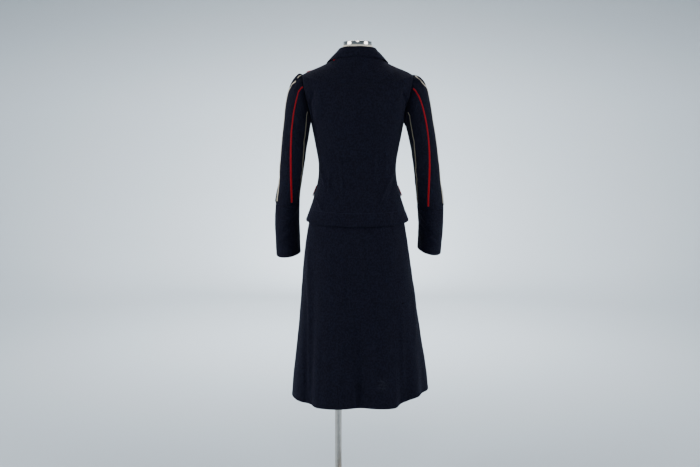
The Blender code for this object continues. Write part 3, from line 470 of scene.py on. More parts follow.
def wall_grid(node, facings, size, tube=False):
    """The points of a packed wall's outer side, rows from its lower edge up and columns
    anticlockwise as seen from outside."""
    rows, cols = size
    shape = welded(node)
    for turn in RIM_TURNS:
        faces = sheet_faces(shape, facings, math.radians(turn))
        points = {point for face in faces for point in face.verts}
        loops = edge_loops(faces)
        if len(points) == rows * cols and len(loops) == (2 if tube else 1):
            break
    else:
        raise RuntimeError(f"{node}: {len(points)} points in {len(loops)} loops, not {size}")
    beside = {point: set() for point in points}
    for face in faces:
        for edge in face.edges:
            beside[edge.verts[0]].add(edge.verts[1])
            beside[edge.verts[1]].add(edge.verts[0])
    if tube:
        loops.sort(key=lambda loop: sum(point.co.z for point in loop))
        grid = tube_rows(loops[0], steps_from(loops[0], beside), beside, rows)
    else:
        grid = panel_rows(loops[0], beside, rows, cols)
    shape.free()
    return grid


def panel_rows(loop, beside, rows, cols):
    start, score = corner_of(loop, rows, cols)
    turned_start, turned_score = corner_of(loop, cols, rows)
    if turned_score > score:
        start = turned_start + rows - 1
    loop = loop[start % len(loop):] + loop[:start % len(loop)]
    lower, upper = loop[:cols], loop[cols + rows - 2:2 * cols + rows - 2]
    before, after = loop[2 * cols + rows - 3:] + loop[:1], loop[cols - 1:cols + rows - 1]
    if sum(point.co.z for point in lower) > sum(point.co.z for point in upper):
        lower, before = upper, after
    row_of, col_of = steps_from(lower, beside), steps_from(before, beside)
    grid = np.full((rows, cols, 3), np.nan)
    for point in beside:
        grid[row_of[point], col_of[point]] = point.co
    if np.isnan(grid).any():
        raise RuntimeError("a packed wall isn't the grid that was expected")
    return grid


def tube_rows(loop, row_of, beside, rows):
    rings = [loop]
    for row in range(1, rows):
        ring = [next(point for point in beside if row_of[point] == row)]
        while True:
            onward = [p for p in beside[ring[-1]] if row_of[p] == row and p not in ring]
            if not onward:
                break
            ring.append(onward[0])
        rings.append(ring)
    grid = [np.array([point.co for point in ring]) for ring in rings]
    for row in range(1, rows):
        choices = [np.roll(way, turn, 0) for way in (grid[row], grid[row][::-1])
                   for turn in range(len(loop))]
        grid[row] = min(choices, key=lambda way: np.linalg.norm(way - grid[row - 1], axis=1).sum())
    return np.array(grid)


def facing_out(grid, tube, facing):
    """The grid with its columns turned round if its faces look the wrong way."""
    normal = normals(grid, tube)
    if tube:
        out = grid - grid.mean(1, keepdims=True)
        looks_out = np.sum(normal * out) > 0
    else:
        looks_out = np.sum(normal.mean((0, 1)) * np.array(facing, float)) > 0
    return grid if looks_out else grid[:, ::-1]


def normals(grid, tube):
    if tube:
        across = np.roll(grid, -1, 1) - np.roll(grid, 1, 1)
    else:
        across = np.gradient(grid, axis=1)
    return unit(np.cross(across, np.gradient(grid, axis=0)))


def smooth_weights(count, at, tube):
    """Weights of a smooth curve's points at places along it, in steps of one point."""
    first = np.floor(at).astype(int) if tube else np.clip(np.floor(at).astype(int), 0, count - 2)
    t = at - first
    share = ((1 - t) ** 3, 3 * t**3 - 6 * t**2 + 4, -3 * t**3 + 3 * t**2 + 3 * t + 1, t**3)
    weights = np.zeros((len(at), count))
    every = np.arange(len(at))
    for step, part in zip((-1, 0, 1, 2), share):
        point, part = first + step, part / 6
        if tube:
            np.add.at(weights, (every, point % count), part)
            continue
        low, high = point < 0, point > count - 1
        np.add.at(weights, (every, np.clip(point, 0, count - 1)), np.where(low | high, 2, 1) * part)
        np.add.at(weights, (every[low], np.full(low.sum(), 1)), -part[low])
        np.add.at(weights, (every[high], np.full(high.sum(), count - 2)), -part[high])
    return weights


def held(points, tube):
    """Points moved so that the smooth curve through them doesn't shrink."""
    if tube:
        near = (np.roll(points, 1, 0) + np.roll(points, -1, 0)) / 2
        return points + (points - near) / 3
    moved = points.copy()
    moved[1:-1] += (points[1:-1] - (points[:-2] + points[2:]) / 2) / 3
    return moved


def fine_places(grid, cell, axis):
    """Places along a grid, closely and evenly spaced, in steps of one point."""
    length = np.linalg.norm(np.diff(grid, axis=axis), axis=-1).mean(1 - axis)
    reach = np.concatenate([[0], np.cumsum(length)])
    return np.interp(np.linspace(0, reach[-1], max(3, round(reach[-1] / cell) + 1)),
                     reach, np.arange(len(reach)))


def fine_sheet(grid, cell_up, cell_round, tube=False):
    """The grid as a fine smooth sheet, and the places of its columns along the grid."""
    rows = fine_places(grid, cell_up, 0)
    if tube:
        closed = np.concatenate([grid, grid[:, :1]], 1)
        cols = fine_places(closed, cell_round, 1)[:-1]
    else:
        cols = fine_places(grid, cell_round, 1)
    kept = held(grid, False)
    kept = held(kept.transpose(1, 0, 2), tube).transpose(1, 0, 2)
    up, across = smooth_weights(len(grid), rows, False), smooth_weights(grid.shape[1], cols, tube)
    return np.einsum("ir,rcx,jc->ijx", up, kept, across), cols


def folds(table, across, up):
    """The relief of soft folds, each along a bowed line with fading ends."""
    relief = np.zeros(across.shape)
    for fold in table:
        x_start, z_start, x_end, z_end, depth, width, bow = (part / MM for part in fold)
        run_x, run_z = x_end - x_start, z_end - z_start
        length = math.hypot(run_x, run_z)
        along = ((across - x_start) * run_x + (up - z_start) * run_z) / length**2
        off = ((across - x_start) * run_z - (up - z_start) * run_x) / length
        inside = np.clip(along, 0, 1)
        off = off - bow * 4 * inside * (1 - inside)
        ends = ease(along / FOLD_FADE + FOLD_START) * ease((1 - along) / FOLD_FADE + FOLD_START)
        relief += depth * np.exp(-((off / width) ** 2)) * ends
    return relief


def unevenness(across, up):
    relief = np.zeros(across.shape)
    for wave_x, wave_z, height, phase in UNEVENNESS:
        relief += height * np.sin(2 * math.pi * (wave_x * across + wave_z * up) + phase)
    return relief


def raised(grid, relief, tube=False):
    return grid + normals(grid, tube) * relief[..., None]


def inset_ends(grid, tube, distance):
    """The sheet with its edges drawn back by a distance, which the rounded rim gives back."""
    grid = grid.copy()
    for edge, beside in ((0, 1), (-1, -2)):
        grid[edge] += unit(grid[beside] - grid[edge]) * distance
        if not tube:
            grid[:, edge] += unit(grid[:, beside] - grid[:, edge]) * distance
    return grid


def flat_places(grid, tube):
    """Where each point of a sheet lies in the flat cut, in metres: across from its middle,
    and up from its lower edge."""
    steps = np.linalg.norm(np.diff(grid, axis=1), axis=-1)
    reach = np.concatenate([np.zeros((len(grid), 1)), np.cumsum(steps, 1)], 1)
    middle = grid.shape[1] // 2
    across = reach - reach[:, middle:middle + 1]
    rise = np.linalg.norm(np.diff(grid, axis=0), axis=-1).mean(1)
    up = np.concatenate([[0], np.cumsum(rise)])
    return across, np.repeat(up[:, None], grid.shape[1], 1)


def new_piece(name, points, faces, places, material):
    """A piece from points and quads, with a place in the flat for each corner of a face."""
    mesh = bpy.data.meshes.new(name)
    mesh.vertices.add(len(points))
    mesh.vertices.foreach_set("co", np.asarray(points, np.float32).ravel())
    faces = np.asarray(faces, np.int32)
    mesh.loops.add(faces.size)
    mesh.loops.foreach_set("vertex_index", faces.ravel())
    mesh.polygons.add(len(faces))
    mesh.polygons.foreach_set("loop_start", np.arange(0, faces.size, 4, dtype=np.int32))
    mesh.update(calc_edges=True)
    flat = mesh.uv_layers.new(name="flat")
    flat.data.foreach_set("uv", np.asarray(places, np.float32).ravel())
    mesh.validate()
    mesh.shade_smooth()
    piece = bpy.data.objects.new(name, mesh)
    bpy.context.scene.collection.objects.link(piece)
    return dressed(piece, material)


def dressed(piece, material):
    piece.data.materials.clear()
    piece.data.materials.append(material)
    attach(piece, BODY)
    return piece


def quads(low, high, closed):
    """Quads between two rows of point numbers, low row first."""
    if closed:
        return np.stack([low, np.roll(low, -1), np.roll(high, -1), high], -1)
    return np.stack([low[:-1], low[1:], high[1:], high[:-1]], -1)


def cloth_wall(name, sheet, wall, rim, tube, material):
    """A sheet as cloth of its real thickness, closed round its edges by rounded rims."""
    rows, cols = sheet.shape[:2]
    sheet = inset_ends(sheet, tube, rim)
    behind = sheet - normals(sheet, tube) * wall
    ids = np.arange(rows * cols).reshape(rows, cols)
    behind_ids = ids + rows * cols
    points = [sheet.reshape(-1, 3), behind.reshape(-1, 3)]
    faces = [quads(ids[r], ids[r + 1], tube) for r in range(rows - 1)]
    faces += [quads(behind_ids[r + 1], behind_ids[r], tube) for r in range(rows - 1)]
    count = 2 * rows * cols
    if tube:
        outlines = [ids[0], ids[-1][::-1]]
    else:
        outlines = [np.concatenate([ids[0, :-1], ids[:-1, -1], ids[-1, :0:-1], ids[:0:-1, 0]])]
    across, up = flat_places(sheet, tube)
    flat = np.stack([across, up], -1).reshape(-1, 2)
    flat = [flat, flat]
    every = np.concatenate(points)
    for outline in outlines:
        face, back = every[outline], every[outline + rows * cols]
        run = np.roll(face, -1, 0) - np.roll(face, 1, 0)
        away = unit(np.cross(run, face - back))
        before = outline
        for facet in range(1, RIM_FACETS):
            turn = math.pi * facet / RIM_FACETS
            ring = (face + back) / 2 + (face - back) / 2 * math.cos(turn)
            ring = ring + away * rim * math.sin(turn)
            ring_ids = np.arange(count, count + len(ring))
            count += len(ring)
            points.append(ring)
            flat.append(flat[0][outline])
            faces.append(quads(ring_ids, before, True))
            before = ring_ids
        faces.append(quads(outline + rows * cols, before, True))
    faces = np.concatenate(faces)
    places = np.concatenate(flat)[faces]
    if tube:
        girth = np.linalg.norm(sheet[:, 0] - sheet[:, -1], axis=-1)[0]
        wraps = np.ptp(places[..., 0], axis=1) > 0.5 * np.ptp(across[rows // 2])
        high = places[wraps]
        top = high[..., 0].max(1, keepdims=True)
        high[..., 0] = np.where(high[..., 0] < 0, top + girth, high[..., 0])
        places[wraps] = high
    return new_piece(name, np.concatenate(points), faces, places, material)


def trim(name, middle, across, out, width, lift, sunk, material, slot, facets, plait):
    """A narrow braid or piping along a line: domed across, with closed square ends. Its
    edges waver a little with each plait. The lift may change along the line."""
    turn = np.linspace(0, 1, facets)
    dome = np.sin(turn * math.pi) ** DOME_POWER
    length = np.concatenate([[0], np.cumsum(np.linalg.norm(np.diff(middle, axis=0), axis=-1))])
    waver = 1 + WAVER * np.sin(2 * math.pi * length / plait)
    place = (turn - 0.5) * width
    sunk = max(sunk, TRIM_LEAST - lift.min())
    rise = -sunk + (lift[:, None] + sunk) * dome[None, :]
    top = (middle[:, None] + across[:, None] * (place[None, :] * waver[:, None])[..., None]
           + out[:, None] * rise[..., None])
    base = (middle[:, None] + across[:, None] * (place[None, ::-1][:, 1:-1])[..., None]
            - out[:, None] * sunk)
    ring = np.concatenate([top, base], 1)
    count, size = ring.shape[:2]
    ids = np.arange(count * size).reshape(count, size)
    faces = [quads(ids[r + 1], ids[r], True) for r in range(count - 1)]
    flat = np.stack([np.repeat(np.concatenate([place, place[::-1][1:-1]])[None], count, 0),
                     np.repeat(length[:, None], size, 1)], -1).reshape(-1, 2)
    half = size // 2
    for end, way in ((0, 1), (count - 1, -1)):
        lid = [[k, k + 1, (size - k - 1) % size, (size - k) % size] for k in range(1, half)]
        faces.append(ids[end][np.array(lid)][:, ::way])
    faces = np.concatenate(faces)
    piece = new_piece(name, ring.reshape(-1, 3), faces, flat[faces], material)
    closed_up(piece)
    return piece


def lifted(node, middle, lift):
    """How far a trim stands out at each point of its middle line."""
    lift = np.full(len(middle), lift)
    for axis, low, high, fade, change in LIFT_CHANGES.get(node, ()):
        at = middle[:, axis]
        lift += change * ease((at - low) / fade) * ease((high - at) / LIFT_END_FADE)
    return lift


def closed_up(piece):
    """Fills the small open corners at a trim's ends, and turns every face outwards."""
    shape = bmesh.new()
    shape.from_mesh(piece.data)
    open_edges = [edge for edge in shape.edges if edge.is_boundary]
    if open_edges:
        bmesh.ops.holes_fill(shape, edges=open_edges, sides=0)
    bmesh.ops.recalc_face_normals(shape, faces=shape.faces)
    shape.to_mesh(piece.data)
    shape.free()


def surface_tree(*pieces):
    """One search tree over the faces of some pieces."""
    points, faces = [], []
    for piece in pieces:
        start = len(points)
        points += [vert.co for vert in piece.data.vertices]
        faces += [[start + index for index in face.vertices] for face in piece.data.polygons]
    return BVHTree.FromPolygons(points, faces)


# Materials


class Finish:
    """A material's nodes, added one after another."""

    def __init__(self, name):
        self.material = bpy.data.materials.new(name)
        self.material.use_nodes = True
        self.tree = self.material.node_tree
        self.shader = self.tree.nodes["Principled BSDF"]

    def add(self, kind, inputs=(), **settings):
        node = self.tree.nodes.new(kind)
        for name, value in settings.items():
            setattr(node, name, value)
        for place, value in dict(inputs).items():
            self.feed(node.inputs[place], value)
        return node

    def feed(self, socket, value):
        if isinstance(value, bpy.types.NodeSocket):
            self.tree.links.new(value, socket)
        elif value is not None:
            socket.default_value = value

    def sum(self, operation, first, second=None, third=None, clamp=False):
        node = self.add("ShaderNodeMath", {0: first, 1: second, 2: third}, operation=operation)
        node.use_clamp = clamp
        return node.outputs[0]

    def times(self, first, second):
        return self.sum("MULTIPLY", first, second)

    def scaled(self, value, share, rest, clamp=False):
        """The value times its share, and the rest on top."""
        return self.sum("MULTIPLY_ADD", value, share, rest, clamp)

    def wave(self, value, length=1.0):
        return self.sum("SINE", self.times(value, 2 * math.pi / length))

    def place(self):
        return self.add("ShaderNodeTexCoord").outputs["Object"]

    def flat(self):
        """Where a point lies in the flat: across, and up."""
        uv = self.add("ShaderNodeUVMap", uv_map="flat").outputs[0]
        parts = self.add("ShaderNodeSeparateXYZ", {0: uv})
        return parts.outputs[0], parts.outputs[1]

    def noise(self, scale, detail=3.0, stretch=(1, 1, 1), roughness=0.55):
        at = self.add("ShaderNodeMapping", {"Vector": self.place(), "Scale": stretch}).outputs[0]
        node = self.add("ShaderNodeTexNoise",
                        {"Vector": at, "Scale": scale, "Detail": detail, "Roughness": roughness})
        return node.outputs["Fac"]

    def blend(self, share, first, second):
        node = self.add("ShaderNodeMix", data_type="RGBA")
        for place, value in ((0, share), (6, first), (7, second)):
            self.feed(node.inputs[place], value)
        return node.outputs[2]

    def spread(self, value, low, high, start=0.0, end=1.0):
        return self.add("ShaderNodeMapRange", {0: value, 1: low, 2: high, 3: start, 4: end},
                        interpolation_type="SMOOTHSTEP").outputs[0]

    def bump(self, height, distance, strength=1.0, under=None):
        node = self.add("ShaderNodeBump", {"Height": height, "Distance": distance,
                                           "Strength": strength, "Normal": under})
        return node.outputs[0]

    def mark(self, centre, radius, soft, stretch=(1, 1, 1)):
        """1 inside a small soft-edged spot at a place, and 0 outside it."""
        kind = "ShaderNodeVectorMath"
        off = self.add(kind, {0: self.place(), 1: centre}, operation="SUBTRACT")
        off = self.add(kind, {0: off.outputs[0], 1: stretch}, operation="MULTIPLY")
        far = self.add(kind, {0: off.outputs[0]}, operation="LENGTH")
        return self.spread(far.outputs["Value"], radius, radius + soft, 1.0, 0.0)

    def set(self, **values):
        for name, value in values.items():
            self.feed(self.shader.inputs[name.replace("_", " ")], value)
        return self.material


def colour(value, alpha=1.0):
    return (*value, alpha)


def stitches(finish, sizes):
    """The height of a plain knit: columns of small Vs."""
    across, up = finish.flat()
    wale = finish.sum("DIVIDE", across, sizes.stitch_width)
    side = finish.times(finish.sum("PINGPONG", wale, 0.5), 2.0)
    course = finish.sum("DIVIDE", up, sizes.stitch_height)
    strand = finish.scaled(finish.wave(finish.scaled(side, -0.62, course)), 0.5, 0.5)
    column = finish.sum("SUBTRACT", 1.0, finish.sum("POWER", side, 3.0))
    middle = finish.spread(side, 0.0, 0.22, 0.55, 1.0)
    return finish.times(finish.times(strand, column), middle)


def stitched_line(finish, level):
    """1 on the small stitches of a sewn line at a height up the flat sheet."""
    across, up = finish.flat()
    off = finish.sum("ABSOLUTE", finish.sum("SUBTRACT", up, level))
    on_line = finish.spread(off, STITCH_HALF_WIDTH * 0.5, STITCH_HALF_WIDTH, 1.0, 0.0)
    dash = finish.sum("PINGPONG", finish.sum("DIVIDE", across, STITCH_LENGTH), 0.5)
    return finish.times(on_line, finish.spread(dash, 0.10, 0.20))


def knit(name, sizes, colours, marks, hem_line):
    """Fine dark navy wool knit, with its small marks and the stitching of its hem."""
    finish = Finish(name)
    height = stitches(finish, sizes)
    fuzz = finish.noise(1800.0, 2.0)
    mottled = finish.spread(finish.noise(200.0, 3.0, (1, 1, 0.8), 0.7), 0.38, 0.62)
    cloudy = finish.noise(9.0, 4.0, (1, 1, 0.5))
    # Random mottling and clouding of the wool, with a share by stitch height that paints lit tops
    # and shaded gaps
    shade = finish.scaled(cloudy, 0.22, finish.times(height, 0.22))
    shade = finish.scaled(mottled, 0.56, shade)
    tone = finish.blend(shade, colour(colours.navy), colour(colours.navy_raised))
    tone = finish.blend(finish.spread(fuzz, 0.62, 0.80, 0.0, 0.30), tone, FUZZ)
    if hem_line is not None:
        line = stitched_line(finish, hem_line)
        tone = finish.blend(finish.times(line, 0.5), tone, STITCH_LINE)
    for centre, radius, soft, stretch, stain, share in marks:
        spot = finish.times(finish.mark(centre, radius, soft, stretch), share)
        spot = finish.times(spot, finish.scaled(mottled, 0.9, 0.1))
        tone = finish.blend(spot, tone, colour(stain))
    relief = finish.bump(height, 0.00035, 0.75)
    relief = finish.bump(fuzz, 0.00012, 0.5, relief)
    relief = finish.bump(mottled, 0.00022, 0.6, relief)
    if hem_line is not None:
        relief = finish.bump(line, 0.0003, 0.8, relief)
    rough = finish.spread(cloudy, 0.3, 0.7, 0.86, 0.96)
    return finish.set(
        Base_Color=tone, Roughness=rough, Normal=relief, Sheen_Weight=0.075, Sheen_Roughness=0.36,
        Sheen_Tint=KNIT_SHEEN, Specular_IOR_Level=0.06,
    )


def braid_finish(name, shade, deep, sizes):
    """A flat plaited braid: threads that lean to its middle from both edges."""
    finish = Finish(name)
    across, up = finish.flat()
    off_middle = finish.sum("ABSOLUTE", across)
    lean = finish.scaled(off_middle, 1.1, up)
    thread = finish.scaled(finish.wave(lean, sizes.braid_pitch), 0.5, 0.5)
    height = finish.times(thread, finish.spread(off_middle, 0.0, 0.0005, 0.35, 1.0))
    fuzz = finish.noise(2200.0, 2.0)
    worn = finish.noise(60.0, 3.0)
    # Thread tops take the braid's colour and the gaps between them the deep one, a painted shade,
    # with some random wear
    share = finish.scaled(worn, 0.25, finish.times(height, 0.85), clamp=True)
    tone = finish.blend(share, colour(deep), colour(shade))
    relief = finish.bump(height, 0.00035, 0.9)
    relief = finish.bump(fuzz, 0.0001, 0.5, relief)
    return finish.set(Base_Color=tone, Roughness=0.82, Normal=relief, Sheen_Weight=0.02,
                      Sheen_Roughness=0.5, Specular_IOR_Level=0.08)


def jersey_finish(name, colours):
    """Cream jersey stretched over the form, with its lines of stitching front and back."""
    finish = Finish(name)
    ribs = finish.add("ShaderNodeSeparateXYZ", {0: finish.place()}).outputs
    height = finish.scaled(finish.wave(ribs[2], 0.0011), 0.3, finish.noise(1400.0, 2.0))
    centre = finish.spread(finish.sum("ABSOLUTE", ribs[0]), 0.0004, 0.0014, 1.0, 0.0)
    cloudy = finish.noise(14.0, 4.0)
    tone = finish.blend(finish.times(cloudy, 0.5), colour(colours.jersey), JERSEY_WORN)
    tone = finish.blend(finish.times(centre, 0.6), tone, JERSEY_SEAM)
    relief = finish.bump(height, 0.00018, 0.7)
    relief = finish.bump(finish.sum("SUBTRACT", 1.0, centre), 0.0006, 0.9, relief)
    return finish.set(Base_Color=tone, Roughness=0.88, Normal=relief, Sheen_Weight=0.12,
                      Specular_IOR_Level=0.25)


def metal_finish(name, shade, rough, brushed, stretch):
    """Steel: fine brushing along one way, and small scuffs."""
    finish = Finish(name)
    grain = finish.noise(900.0, 3.0, stretch)
    scuffs = finish.noise(46.0, 5.0)
    worn = colour([part * 0.72 for part in shade])
    tone = finish.blend(finish.spread(scuffs, 0.35, 0.75, 0.0, 0.35), colour(shade), worn)
    rough_here = finish.spread(grain, 0.2, 0.8, rough - brushed, rough + brushed)
    relief = finish.bump(grain, 0.00004, 0.6)
    return finish.set(Base_Color=tone, Metallic=1.0, Roughness=rough_here, Normal=relief)


def button_finish(name, colours):
    finish = Finish(name)
    cloudy = finish.noise(260.0, 4.0)
    tone = finish.blend(cloudy, colour(colours.button), BUTTON_CLOUD)
    scuffs = finish.noise(1500.0, 2.0)
    relief = finish.bump(scuffs, 0.00003, 0.4)
    rough = finish.spread(cloudy, 0.3, 0.7, 0.36, 0.46)
    return finish.set(Base_Color=tone, Roughness=rough, Normal=relief,
                      Specular_IOR_Level=0.22, Coat_Weight=0.05, Coat_Roughness=0.25)


def thread_finish(name, colours):
    finish = Finish(name)
    twist = finish.noise(3000.0, 1.0)
    tone = finish.blend(twist, colour(colours.navy), THREAD_PALE)
    return finish.set(Base_Color=tone, Roughness=0.8, Normal=finish.bump(twist, 0.0001, 0.6))


def paper_finish(name, stage):
    finish = Finish(name)
    height = finish.add("ShaderNodeSeparateXYZ", {0: finish.place()}).outputs[2]
    # The paper is painted darker towards the top, as shade of the light that falls off with height
    painted_top_shade = [part * PAPER_PAINTED_SHADE for part in stage.paper]
    tone = finish.blend(finish.spread(height, PAPER_LOW, PAPER_HIGH), colour(stage.paper),
                        colour(painted_top_shade))
    return finish.set(Base_Color=tone, Roughness=0.95, Specular_IOR_Level=0.1)


def finish_named(name, maker, *values):
    return bpy.data.materials.get(name) or maker(name, *values)


def settings(context):
    return context.scene.suit_cloth, context.scene.suit_colours


def navy_knit(context, kind):
    """The knit of the jacket, of the skirt's back or of the plain pieces, each with its marks."""
    sizes, colours = settings(context)
    hem_line = sizes.hem_line if kind == "jacket" else None
    return finish_named(f"navy_knit_{kind}", knit, sizes, colours, MARKS[kind], hem_line)


def braid_plait(context, kind):
    """A braid's finish, and the slot it belongs to."""
    sizes, colours = settings(context)
    name, colour_name, deep, slot = BRAID_FINISHES[kind]
    return finish_named(name, braid_finish, getattr(colours, colour_name), deep, sizes), slot


# Pieces of cloth


def bring(node, facings, size, tube=False):
    grid = wall_grid(node, facings, size, tube)
    return facing_out(grid, tube, facings[0])


def pulled_in(sheet, off_seam):
    """The sheet drawn in at the back of the armhole, most at the seam itself."""
    deep, up = sheet[..., 1], sheet[..., 2]
    share = (ease((up - ARMHOLE_LOW[0]) / ARMHOLE_LOW[1])
             * ease((ARMHOLE_HIGH[0] - up) / ARMHOLE_HIGH[1])
             * ease((deep - ARMHOLE_DEEP[0]) / ARMHOLE_DEEP[1]))
    sheet = sheet.copy()
    sheet[..., 1] -= ARMHOLE_PULL * share * (1 - ease(off_seam / ARMHOLE_REACH))
    return sheet


def make_panel(context, node, facing, size, relief_table, cells, kind, mirror=1, armhole=False):
    """A jacket or skirt panel: a fine sheet with its folds, as cloth."""
    sheet = fine_sheet(bring(node, [facing], size), *cells)[0]
    across, up = sheet[..., 0] * mirror, sheet[..., 2]
    columns = np.arange(sheet.shape[1])
    off_seam = np.minimum(columns, columns[::-1])
    relief = folds(relief_table, across, up) + unevenness(across + 0.37 * sheet[..., 1], up)
    sheet = raised(sheet, relief * ease(off_seam / PANEL_SEAM_COLUMNS))
    if armhole:
        sheet = pulled_in(sheet, off_seam * cells[1])
    return make_cloth(context, node, sheet, kind=kind)


def make_cloth(context, node, sheet, tube=False, kind="plain", wall=None):
    """A finished sheet as a knitted piece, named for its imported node."""
    sizes = settings(context)[0]
    return cloth_wall(f"suit_{node}", sheet, wall or sizes.wall, sizes.rim, tube,
                      navy_knit(context, kind))


def declare(node):
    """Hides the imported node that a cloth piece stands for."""
    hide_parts(node)


class JacketBack(bpy.types.Operator):
    """Make the jacket's back, one panel from side seam to side seam"""

    bl_idname = "suit.jacket_back"
    bl_label = "Jacket back"

    def execute(self, context):
        cells = [settings(context)[0].cell] * 2
        piece = make_panel(context, "jacket_back", (0, 1, 0), BACK_GRID, BACK_FOLDS, cells,
                           "jacket", armhole=True)
        declare("jacket_back")
        return {"FINISHED"}


class JacketFronts(bpy.types.Operator):
    """Make the two fronts of the jacket, which close right over left"""

    bl_idname = "suit.jacket_fronts"
    bl_label = "Jacket fronts"

    def execute(self, context):
        cells = [settings(context)[0].cell] * 2
        for side, sign in SIDES.items():
            node = f"jacket_front_{side}"
            piece = make_panel(context, node, (0, -1, 0), FRONT_GRID, FRONT_FOLDS[side], cells,
                               "jacket", sign)
            declare(node)
        return {"FINISHED"}


class Collar(bpy.types.Operator):
    """Make the collar, folded over on its stand"""

    bl_idname = "suit.collar"
    bl_label = "Collar"

    def execute(self, context):
        grid = bring("collar", [(0, 1, 0), ((0, -0.6, 0.8), (0, 1, 0))], COLLAR_GRID)
        sheet = fine_sheet(grid, *COLLAR_CELLS)[0]
        waves = unevenness(sheet[..., 0] * 1.6, sheet[..., 2] + sheet[..., 1])
        sheet = raised(sheet, waves * 0.8)
        piece = make_cloth(context, "collar", sheet)
        declare("collar")
        return {"FINISHED"}


def arm_sheet(node, size, side, table, gathers=()):
    """A sleeve or a cuff as a fine sheet that starts and ends at the underarm's seam."""
    sign = SIDES[side]
    grid = bring(node, [(sign, 0, 0)], size, tube=True)
    outer = int(np.argmax(grid[0, :, 0] * sign))
    grid = np.roll(grid, grid.shape[1] // 2 - outer, 1)
    sheet, cols = fine_sheet(grid, *ARM_CELLS, tube=True)
    turn = (cols - grid.shape[1] // 2) * 360 / grid.shape[1] * sign
    steps = np.linalg.norm(np.diff(sheet[::-1], axis=0), axis=-1).mean(1)
    turn, down = np.meshgrid(turn, np.concatenate([[0], np.cumsum(steps)])[::-1])
    across = np.radians(turn) * ARM_ROUND
    lines = [(math.radians(start) * ARM_ROUND * MM, high, math.radians(end) * ARM_ROUND * MM, *rest)
             for start, high, end, *rest in table]
    relief = folds(lines, across, down) + unevenness(across, down)
    for place, reach, depth, width in gathers:
        off = (across - math.radians(place) * ARM_ROUND) * MM / width
        fade = ease(down / GATHER_START) * ease(GATHER_END - down * MM / reach)
        relief += depth / MM * np.exp(-off**2) * fade
    relief *= ease(down / ARM_SEAM_FADE) * ease((down.max() - down) / ARM_SEAM_FADE)
    sheet = raised(sheet, relief, tube=True)
    return pulled_in(sheet, down) if gathers else sheet


class Sleeves(bpy.types.Operator):
    """Make both sleeves with their gathered heads, and the cuffs below them"""

    bl_idname = "suit.sleeves"
    bl_label = "Sleeves and cuffs"

    def execute(self, context):
        for side in SIDES:
            for kind, size, *tables in (("sleeve", SLEEVE_GRID, SLEEVE_FOLDS, HEAD_GATHERS),
                                        ("cuff", CUFF_GRID, CUFF_FOLDS)):
                node = f"{kind}_{side}"
                sheet = arm_sheet(node, size, side, *[table[side] for table in tables])
                make_cloth(context, node, sheet, tube=True)
        return {"FINISHED"}


def smooth_line(points, step):
    """Points along a smooth curve through the given ones, evenly spaced, and their weights."""
    length = np.concatenate([[0], np.cumsum(np.linalg.norm(np.diff(points, axis=0), axis=-1))])
    places = np.interp(np.linspace(0, length[-1], round(length[-1] / step) + 1), length,
                       np.arange(len(points)))
    weights = smooth_weights(len(points), places, False)
    return weights @ held(points, False), weights


def evened(values, reach):
    """Each value averaged with its neighbours along a line."""
    for _ in range(reach):
        values = np.concatenate([values[:1], (values[:-2] + 2 * values[1:-1] + values[2:]) / 4,
                                 values[-1:]])
    return values


def strip_line(node, facing, sign, size, step):
    """A packed strip's smooth middle line, the ways across and out of it, and its width."""
    grid = bring(node, [(facing[0] * sign, *facing[1:])], size)
    along = 0 if size[1] == 2 else 1
    across = np.diff(grid, axis=1 - along).mean(1 - along)
    out = unit(normals(grid, False).mean(1 - along))
    middle, weights = smooth_line(grid.mean(1 - along), step)
    width = float(np.linalg.norm(across, axis=-1).mean())
    return middle, weights @ unit(across), weights @ out, width


def sewn_trim(context, node, line, lift, sunk, kind):
    """A braid or a piping along its line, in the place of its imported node."""
    sizes = settings(context)[0]
    middle, across, out, width = line
    piece = trim(f"suit_{node}", middle, across, out, width, lifted(node, middle, lift), sunk,
                 *braid_plait(context, kind), sizes.cord_segments, sizes.braid_pitch)
    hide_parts(node)
    return piece


def laid_on(tree, line):
    """A trim's line laid on the cloth under it."""
    middle, across, out, width = line
    found = [tree.find_nearest(Vector(point)) for point in middle]
    middle = evened(np.array([place for place, _, _, _ in found]), 2)
    out = evened(unit(np.array([normal for _, normal, _, _ in found])), 5)
    across = unit(across - out * np.sum(across * out, -1, keepdims=True))
    return middle, across, out, width


class Braids(bpy.types.Operator):
    """Make the five braids sewn down each sleeve"""

    bl_idname = "suit.braids"
    bl_label = "Sleeve braids"

    def execute(self, context):
        proud = settings(context)[0].braid_proud
        for side, sign in SIDES.items():
            sleeve, cuff = (bpy.data.objects[f"suit_{kind}_{side}"] for kind in ("sleeve", "cuff"))
            tree = surface_tree(sleeve)
            for stripe, (facing, kind, share) in STRIPES.items():
                node = f"{stripe}_{side}"
                line = laid_on(tree, strip_line(node, facing, sign, BRAID_GRID, BRAID_STEP))
                line = (*line[:3], line[3] * share)
                sewn_trim(context, node, line, proud, BRAID_SUNK, kind)
            declare(f"sleeve_{side}")
            declare(f"cuff_{side}")
        return {"FINISHED"}


class Pipings(bpy.types.Operator):
    """Make the red pipings of the collar, the shoulder seams and the pocket flaps"""

    bl_idname = "suit.pipings"
    bl_label = "Red pipings"

    def execute(self, context):
        for number, (side, sign) in enumerate(SIDES.items()):
            for name, (facing, grids, lift, sunk, share) in PIPINGS.items():
                node = f"{name}_{side}"
                middle, across, out, width = strip_line(node, facing, sign, grids[number],
                                                        PIPING_STEP)
                line = (middle, unit(across), unit(out), width * share)
                sewn_trim(context, node, line, lift, sunk, "red")
        return {"FINISHED"}


